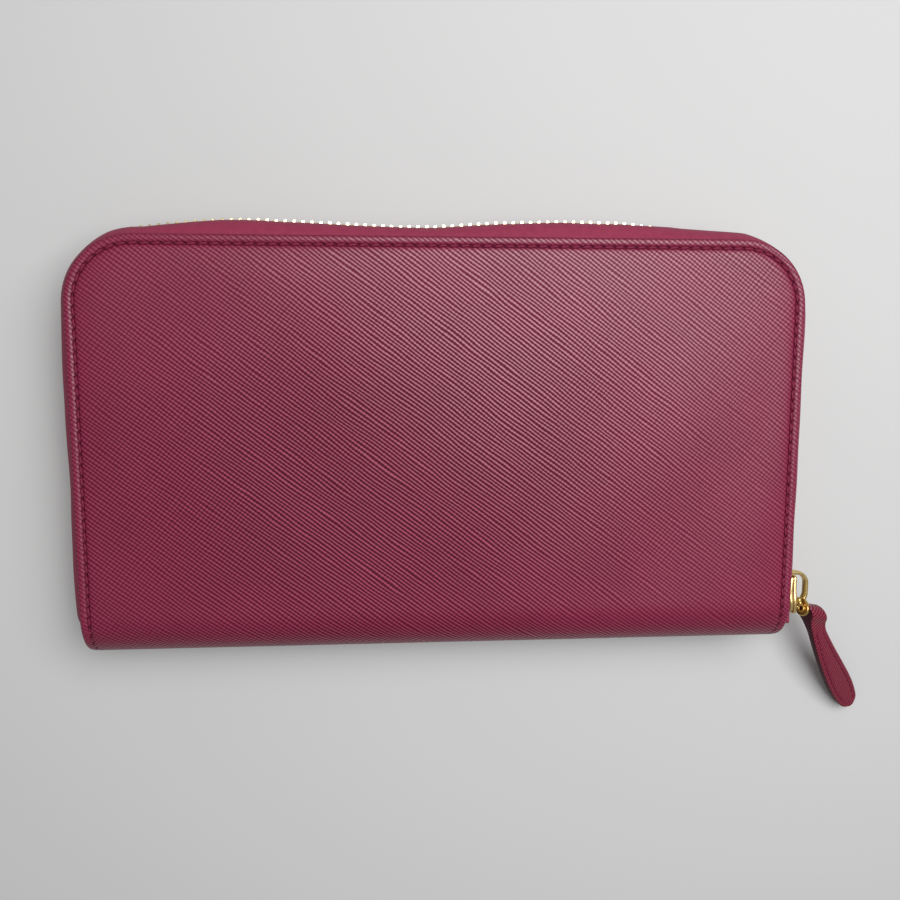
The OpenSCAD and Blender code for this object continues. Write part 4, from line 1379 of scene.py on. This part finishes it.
# flat leaves inside: panels, pockets and walls
# A leaf between x0 and x1, y0 and y1, its two far corners rounded by radius. Its face looks at the coin
# pocket.
def softPanel(name, x0, x1, y0, y1, low, thick, slot, radius, seamInset, topSeam=True, turned=0.0,
              front=False, ripple=0.05):
    ys = spread(y0, y1, 28)
    half, mid = (x1 - x0) / 2, (x0 + x1) / 2
    us = spread(-1, 1, 34, near=tuple(v / half for v in (0.12, 0.3, 0.55, 0.85, 1.2, 1.6, 2.0, 2.5, 3.2,
                                                         4.2)))
    rr = min(thick * 0.48, 0.45)
    tops, lows, uvs = [], [], []
    for y in ys:
        hw = half
        if y > y1 - radius:
            hw = half - radius + math.sqrt(max(radius ** 2 - (y - y1 + radius) ** 2, 0))
        x = us * hw
        side = hw - np.abs(x)
        if y > y1 - radius:
            corner = radius - np.hypot(np.maximum(np.abs(x) - half + radius, 0), y - y1 + radius)
            side = np.where(np.abs(x) > half - radius, corner, half - np.abs(x))
        edge = np.minimum(np.minimum(side, y1 - y), y - y0)
        edge = np.maximum(edge, 0)
        soft = rr * (1 - np.sqrt(np.maximum(1 - (1 - np.minimum(edge / rr, 1)) ** 2, 0)))
        up = thick - soft
        near = np.abs(side - seamInset)
        if topSeam:
            near = np.minimum(near, abs(y1 - y - seamInset))
        up = up - 0.10 * np.exp(-(near / 0.35) ** 2)
        if turned:
            up = up + turned * smoothstep((2.7 - (y1 - y)) / 0.5) - 0.06 * math.exp(-((y1 - y
                                                                                       - 1.1) / 0.18) ** 2)
        uneven = np.sin(x * 0.13 + y * 0.09 + mid) * np.sin(y * 0.17 - x * 0.04 + half)
        up = up + ripple * uneven * smoothstep(edge / 8)
        tops.append(np.stack([mid + x, np.full(len(x), y), low + up], 1))
        lows.append(np.stack([mid + x, np.full(len(x), y), low + soft * 0.9], 1))
        uvs.append(np.stack([mid + x, np.full(len(x), y)], 1))
    top, bottom, uvs = np.array(tops), np.array(lows), np.array(uvs)
    if front:
        top[..., 2], bottom[..., 2] = fullT - top[..., 2], fullT - bottom[..., 2]
    parts = Parts()
    parts.add(top, gridFaces(*top.shape[:2]), uvs)
    parts.add(bottom, gridFaces(*top.shape[:2]), uvs + 40)
    addRim(parts, top, bottom, uvs, mat=1)
    obj = parts.build(name, [innerLeather, paintedEdge], slot=slot)
    sharpen(obj, 60)
    return obj


insideStitch = {
    "pitch": 2.6,
    "length": 2.2,
    "radius": 0.24,
}

# Stitches along a line of points, on a surface that faces up.
def stitchRow(parts, line, up):
    line, up = np.asarray(line, float), np.asarray(up, float)
    pitch, length = insideStitch["pitch"], insideStitch["length"]
    run = runLength(line)
    count = int(run[-1] / pitch)
    start = (run[-1] - count * pitch) / 2
    tt = np.linspace(-0.5, 0.5, 7)
    rad = insideStitch["radius"] * np.sqrt(np.maximum(1 - (2 * tt) ** 4, 0.03))
    arch = 0.18 * np.sqrt(np.maximum(1 - (2 * tt) ** 2, 0)) - 0.14
    for k in range(count):
        at = start + (k + 0.5) * pitch + tt * length
        centre = lookUp(at, run, line) + up * arch[:, None]
        verts, faces = tube(centre, np.array(ring(1.0, 6))[None] * rad[:, None, None], up)
        parts.add(verts, faces, np.stack([np.repeat(tt * length, 6), np.tile(np.arange(6) / 3.0, 7)], 1))

def panelOutline(half, y0, y1, radius, inset, z, step=1.5):
    r = max(radius - inset, 0.01)
    a = np.linspace(0, math.pi / 2, 12)
    right = [(half - inset, y) for y in np.arange(y0 + 1, y1 - radius, step)]
    c1 = [(half - radius + r * math.cos(q), y1 - radius + r * math.sin(q)) for q in a]
    top = [(x, y1 - inset) for x in np.arange(half - radius, -(half - radius), -step)]
    c2 = [(-(half - radius) - r * math.sin(q), y1 - radius + r * math.cos(q)) for q in a]
    left = [(-(half - inset), y) for y in np.arange(y1 - radius, y0 + 1, -step)]
    return np.array([(x, y, z) for x, y in right + c1 + top + c2 + left])


def makeLeaves(front):
    side = "Front" if front else "Rear"
    node = side.lower()
    bodyName = node + "_cover"
    flip = (lambda z: fullT - z) if front else (lambda z: z)
    up = (0, 0, -1.0) if front else (0, 0, 1.0)
    w, top, foot = inside["panelWidth"], inside["panelTop"], inside["leafFoot"]
    low = inside["panelLow"]
    panel = softPanel("CardPanel" + side, -w / 2, w / 2, foot, top, low, inside["panelThick"],
                      "lining_leather", 10.0, 1.6,
                      front=front)
    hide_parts(node + "_card_panel")
    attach(panel, bodyName)
    seams = Parts()
    stitchRow(seams, panelOutline(w / 2, foot, top, 10.0, 1.6, flip(low + inside["panelThick"])), up)
    pw, pt = inside["pocketWidth"], inside["pocketThick"]
    base = low + inside["panelThick"]
    for i, y in enumerate(inside["pocketTops"]):
        z = base + i * pt
        pocket = softPanel("CardPocket%d" % (i + 1) + side, -pw / 2, pw / 2, foot + 1, y, z, pt,
                           "inner_leather", 0.8, 1.4,
                           False, 0.05, front=front, ripple=0.02)
        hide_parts(node + "_card_pocket_%d" % (i + 1))
        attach(pocket, bodyName)
        # side seams of the strip that shows, and the seam between the two columns
        below = inside["pocketTops"][i + 1] if i + 1 < len(inside["pocketTops"]) else foot + 2
        for x in (-pw / 2 + 1.4, pw / 2 - 1.4, 0.0):
            line = [(x, yy, flip(z + pt)) for yy in np.arange(below + 0.3, y - 0.4, 1.0)]
            if len(line) > 3:
                stitchRow(seams, line, up)
    obj = seams.build("LeafStitches" + side, [seamThread], weld=False, slot="thread")
    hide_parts(node + "_pocket_stitching")
    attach(obj, bodyName)


makeLeaves(False)
makeLeaves(True)

# coin pocket
coin = {
    "halfWidth": 87.0,
    "foot": -40.0,
    "top": 42.0,
    "low": 10.3,
    "wall": 0.8,
    "chainY": 46.2,
    "rowEnd": 76.0,
    "pitch": 2.0,
    "sliderX": 70.0,
}


def makeCoinWall(front):
    side = "Front" if front else "Rear"
    # the wall's face looks away from the middle, so it is built on the other side and turned over
    hw, foot, top = coin["halfWidth"], coin["foot"], coin["top"]
    obj = softPanel("CoinWall" + side, -hw, hw, foot, top, fullT - coin["low"] - coin["wall"], coin["wall"],
                    "inner_leather", 3.0, 1.6,
                    front=not front, ripple=0.03)
    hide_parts("coin_%s_wall" % side.lower())
    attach(obj, "coin_pocket")
    parts = Parts()
    z = coin["low"] if not front else fullT - coin["low"]
    up = 1.0 if front else -1.0
    stitchRow(parts, panelOutline(hw, foot, top, 3.0, 1.6, z), (0, 0, up))
    stitchRow(parts, [(x, 39.7, z + 0.42 * up) for x in np.arange(-80, 80, 2.0)], (0, 0, up))
    seams = parts.build("CoinStitches" + side, [seamThread], weld=False, slot="thread")
    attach(seams, "coin_pocket")


def makeCoinTape(front):
    side = "Front" if front else "Rear"
    z0 = coin["low"]
    profile = [(38.3, z0 - 0.2), (41.0, z0 - 0.2), (43.6, z0 - 0.18), (44.9, z0 - 0.05), (45.6, z0 + 0.25),
               (46.0, z0 + 0.75), (46.15, z0 + 1.3),
               (46.2, midZ - 0.62)]
    loop = thickened(softened(resample(profile, 22), 2), np.full(22, 0.19))
    xs = np.arange(-80, 80.5, 2.0)
    rings = [np.column_stack([np.full(len(loop), x), loop[:, 0],
                              loop[:, 1] if not front else fullT - loop[:, 1]]) for x in xs]
    n = len(loop)
    length = runLength(loop)
    uv = np.array([np.column_stack([np.full(n, x), length]) for x in xs])
    parts = Parts()
    parts.add(np.array(rings), gridFaces(len(xs), n, closeV=True).tolist() + endFaces(len(xs), n, False), uv)
    obj = parts.build("CoinTape" + side, [tapeFabric], slot="zip_tape")
    sharpen(obj, 60)
    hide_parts("coin_tape_" + side.lower())
    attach(obj, "coin_pocket")


def makeCoinTeeth(front):
    side = "Front" if front else "Rear"
    base, faces = toothTemplate()
    base = base * (0.62, 0.78, 0.47)
    parts = Parts()
    shift = coin["pitch"] / 2 if front else 0.0
    for x in np.arange(-coin["rowEnd"], coin["sliderX"] - 1.9, coin["pitch"]):
        z = midZ + base[:, 2] if not front else midZ - base[:, 2]
        parts.add(np.column_stack([x + shift + 0.4 + base[:, 1], coin["chainY"] + base[:, 0], z]), faces,
                  base[:, :2])
    obj = parts.build("CoinTeeth" + side, [toothMetal], slot="gold_metal", weld=False, outward=True)
    sharpen(obj, 50)
    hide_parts("coin_teeth_" + side.lower())
    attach(obj, "coin_pocket")


for front in (False, True):
    makeCoinWall(front)
    makeCoinTape(front)
    makeCoinTeeth(front)


def makeCoinBand():
    hw, foot, top = coin["halfWidth"], coin["foot"], coin["top"] - 3
    pts = [(hw - 0.6, y) for y in np.linspace(top, foot + 4, 20)]
    pts += [(hw - 4.6 + 4 * math.cos(a), foot + 4.6 - 4 * math.sin(a))
            for a in np.linspace(0.1, math.pi / 2, 8)]
    pts += [(x, foot + 0.6) for x in np.linspace(hw - 6, -hw + 6, 50)]
    pts += [(-hw + 4.6 - 4 * math.sin(a), foot + 4.6 - 4 * math.cos(a))
            for a in np.linspace(0.1, math.pi / 2, 8)]
    pts += [(-hw + 0.6, y) for y in np.linspace(foot + 4.6, top, 20)]
    pts = np.array([(x, y, midZ) for x, y in pts])
    verts, faces = tube(pts, roundRect(1.0, 2.8, 0.35, 3), (0, 0, 1.0))
    run = runLength(pts)
    parts = Parts()
    parts.add(verts, faces, np.stack([np.repeat(run, 16), np.tile(np.linspace(0, 8, 16), len(pts))], 1))
    obj = parts.build("CoinBand", [plainRed], slot="lining_leather")
    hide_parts("coin_band")
    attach(obj, "coin_pocket")


makeCoinBand()


def makeCoinSlider():
    x0, y0 = coin["sliderX"], coin["chainY"]
    ex, ey, ez = (1, 0, 0), (0, 0, 1), (0, 1, 0)
    plate = [(-3.3, -1.5), (-2.9, -1.85), (-1.2, -1.9), (0.6, -2.05), (2.6, -2.1), (3.1, -1.8), (3.3, -1.2)]
    plate = plate + [(x, -z) for x, z in plate[::-1]]
    out = []
    for y, tag in ((-1.6, "Lower"), (0.95, "Upper")):
        out.append(prism("CoinSlider" + tag, plate, (x0, y0 + y, midZ), ex, ey, ez, 0.65, 0.2, goldMetal, 3))
    for z, tag in ((-1, "Rear"), (1, "Front")):
        for y, part in ((-0.95, "A"), (0.3, "B")):
            rim = [(-3.0, z * 1.4), (3.0, z * 1.4), (3.0, z * 1.95), (-3.0, z * 1.9)]
            out.append(prism("CoinFlange" + tag + part, rim, (x0, y0 + y, midZ), ex, ey, ez, 0.65, 0.08,
                             goldMetal, 2))
    out.append(prism("CoinDivider", [(1.7, -0.25), (3.2, -0.45), (3.2, 0.45), (1.7, 0.25)],
                     (x0, y0 - 1.0, midZ), ex, ey, ez, 2.0, 0.08, goldMetal, 2))
    for o in out:
        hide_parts("coin_slider_body")
        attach(o, "coin_zip_slider")
    r, w = 1.3, 0.55
    base = y0 + 1.5
    pts = [(x0 - 2.3, base), (x0 - 2.3, base + 0.5)]
    pts += [(x0 - 2.3 + r - r * math.cos(a), base + 0.6 + r * math.sin(a))
            for a in np.linspace(0.1, math.pi / 2, 8)]
    pts += [(x0 + 2.3 - r + r * math.sin(a), base + 0.6 + r * math.cos(a))
            for a in np.linspace(0, math.pi / 2 - 0.1, 8)]
    pts += [(x0 + 2.3, base + 0.5), (x0 + 2.3, base)]
    pts = np.array([(x, y, midZ) for x, y in pts])
    verts, faces = tube(pts, roundRect(w, 1.2, 0.2, 3), (0, 0, 1.0))
    parts = Parts()
    parts.add(verts, faces)
    bridge = parts.build("CoinBridge", [goldMetal], slot="gold_metal")
    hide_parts("coin_slider_bridge")
    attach(bridge, "coin_zip_slider")
    outline = [(-12 - 1.6 * math.sin(a), 1.6 * math.cos(a)) for a in np.linspace(0, math.pi, 14)]
    outline += [(-8, -1.25), (-5.2, -1.3), (-4.3, -1.7)] + [(0.2 + 1.4 * math.sin(a), -1.7 * math.cos(a))
                                                            for a in np.linspace(0, math.pi, 10)]
    outline += [(-4.3, 1.7), (-5.2, 1.3), (-8, 1.25)]
    eyeHole = [(-3.2, -0.75), (0.6, -0.75), (0.85, -0.4), (0.85, 0.4), (0.6, 0.75), (-3.2, 0.75)][::-1]
    tab = prism("CoinPullTab", outline, (x0, y0 + 1.95, midZ), ex, ey, ez, 0.8, 0.22, goldMetal, 3, [eyeHole])
    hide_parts("coin_pull")
    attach(tab, "coin_zip_pull")


makeCoinSlider()
metalBlock("CoinStopLeft", (-77.7, coin["chainY"], midZ), (1.4, 2.2, 1.3), 0.15, "coin_pocket",
           "coin_zip_stops")
metalBlock("CoinStopRight", (77.3, coin["chainY"], midZ), (1.4, 2.2, 1.3), 0.15, "coin_pocket",
           "coin_zip_stops")


# Small leather pads that close the coin pocket's mouth beyond the ends of its teeth.
def makeCoinEndTab(side):
    outline = [(side * x, y) for x, y in [(79.0, 37.5), (86.2, 37.5), (86.6, 38.0), (86.6, 42.6),
                                          (86.0, 44.6), (84.6, 45.8), (82.5, 46.3), (79.4, 46.4),
                                          (79.0, 46.0)]]
    if side < 0:
        outline = outline[::-1]
    tab = prism("CoinEndTab" + ("Right" if side > 0 else "Left"), outline, (0, 0, midZ - 1.7), (1, 0, 0),
                (0, 1, 0), (0, 0, 1), 3.4, 0.55, plainRed, 4)
    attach(tab, "coin_pocket")


makeCoinEndTab(1)
makeCoinEndTab(-1)
print("coin pocket ready")

# gussets and the folded base of the compartments
def sheetFromRows(name, rows, uvs, half):
    rows, uvs = np.array(rows), np.array(uvs)
    n, m = rows.shape[:2]
    du, dv = np.gradient(rows, axis=0), np.gradient(rows, axis=1)
    normal = unit(np.cross(du, dv))
    a, b = rows + normal * half, rows - normal * half
    parts = Parts()
    parts.add(a, gridFaces(n, m), uvs)
    parts.add(b, gridFaces(n, m), uvs + 30)
    addRim(parts, a, b, uvs)
    obj = parts.build(name, [liningLeather], slot="lining_leather")
    sharpen(obj, 60)
    return obj


gusset = {
    "foot": -39.6,
    "top": 38.0,
    "foldFoot": 6,          # depth of the fold at the spine
    "foldTop": 17,          # and at the open end
}

def makeGusset(side, front):
    rows, uvs = [], []
    foot, top, shallow, deep = (gusset[k] for k in ("foot", "top", "foldFoot", "foldTop"))
    for y in np.linspace(foot, top, 36):
        f = shallow + (deep - shallow) * smoothstep((y - foot) / (top - foot))
        pts = np.array([(88.9, 3.62), (88.3, 4.1), (88.2 - 0.32 * f, 6.0), (88.2 - 0.75 * f, 7.9),
                        (88.2 - f, 8.75), (88.2 - f - 0.25, 9.1), (88.2 - f + 0.4, 9.4),
                        (88.2 - 0.5 * f, 9.6), (88.0 - 0.12 * f, 9.95), (87.2, 10.2)])
        line = softened(resample(pts, 26))
        run = runLength(line)
        rows.append([(side * x, y, fullT - z if front else z) for x, z in line])
        uvs.append([(r, y) for r in run])
    name = "Gusset" + ("Right" if side > 0 else "Left") + ("Front" if front else "Rear")
    obj = sheetFromRows(name, rows, uvs, 0.2)
    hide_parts("gusset_%s_%s" % ("right" if side > 0 else "left", "front" if front else "rear"))
    if front:
        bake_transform(obj)
    else:
        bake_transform(obj)


for side in (1, -1):
    for front in (False, True):
        makeGusset(side, front)


def makeBase():
    prof = [(-39.9, 3.1), (-40.6, 3.5), (-41.3, 4.6), (-41.6, 6.4), (-41.5, 8.2), (-41.0, 9.6),
            (-40.45, 10.6), (-40.3, 11.6), (-40.3, 12.5)]
    prof = prof + [(y, fullT - z) for y, z in prof[-2::-1]]
    line = softened(resample(prof, 40))
    run = runLength(line)
    rows = [[(x, y, z) for y, z in line] for x in np.linspace(-87, 87, 44)]
    uvs = [[(x, r) for r in run] for x in np.linspace(-87, 87, 44)]
    obj = sheetFromRows("CompartmentBase", rows, uvs, 0.22)
    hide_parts("accordion_base")
    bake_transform(obj)


makeBase()

# the boards stay as they are, sealed between leather and lining
boardMat, boardTree, boardBsdf = newMaterial("GreyBoard")
boardNoise = noise(boardTree, boardTree.nodes.new("ShaderNodeTexCoord").outputs["Object"], 800.0, 4)
boardTree.links.new(mixColor(boardTree, boardNoise, (0.38, 0.34, 0.28), (0.28, 0.24, 0.19)),
                    boardBsdf.inputs["Base Color"])
boardBsdf.inputs["Roughness"].default_value = 0.85
setBump(boardTree, boardBsdf, boardNoise, 0.3, 0.0002)
for obj in bpy.data.objects:
    if obj.type == "MESH" and obj.name.endswith("_board"):
        obj.data.materials.clear()
        obj.data.materials.append(boardMat)
print("inside ready")

# floor, backdrop, lights and camera
stage = {
    "floor": (0.46, 0.46, 0.46),
    "world": 0.36,
    "keyPower": 4.0,
}


def makeStage():
    mesh = bpy.data.meshes.new("Floor")
    mesh.from_pydata([(-2, -2, 0), (2, -2, 0), (2, 2, 0), (-2, 2, 0)], [], [(0, 1, 2, 3)])
    floor = addObject("Floor", mesh)
    mat, tree, bsdf = newMaterial("FloorPlain")
    bsdf.inputs["Base Color"].default_value = (*stage["floor"], 1)
    bsdf.inputs["Roughness"].default_value = 0.9
    bsdf.inputs["Specular IOR Level"].default_value = 0.1
    mesh.materials.append(mat)
    world = bpy.data.worlds.new("Studio")
    world.use_nodes = True
    world.node_tree.nodes["Background"].inputs["Color"].default_value = (1, 1, 1, 1)
    world.node_tree.nodes["Background"].inputs["Strength"].default_value = stage["world"]
    bpy.context.scene.world = world

    def area(name, place, target, size, power):
        data = bpy.data.lights.new(name, "AREA")
        data.shape, data.size, data.energy = "SQUARE", size, power
        light = addObject(name, data)
        light.location = place
        way = np.array(target, float) - np.array(place, float)
        light.rotation_euler = Vector(way).to_track_quat("-Z", "Y").to_euler()

    area("KeySoftbox", (0.14, 0.15, 0.50), (0.01, 0, 0), 0.40, stage["keyPower"])
    camData = bpy.data.cameras.new("Camera")
    cam = addObject("Camera", camData)
    camData.lens, camData.sensor_width = 35.2, 36.0
    camData.clip_start, camData.clip_end = 0.01, 10.0
    cam.location = (-0.016, 0.0297, 0.252)
    cam.rotation_euler = tuple(math.radians(a) for a in (-7.3, -4.3, 0.1))
    bpy.context.scene.camera = cam
    bpy.context.scene.view_settings.view_transform = "Standard"


makeStage()
print("scene ready")
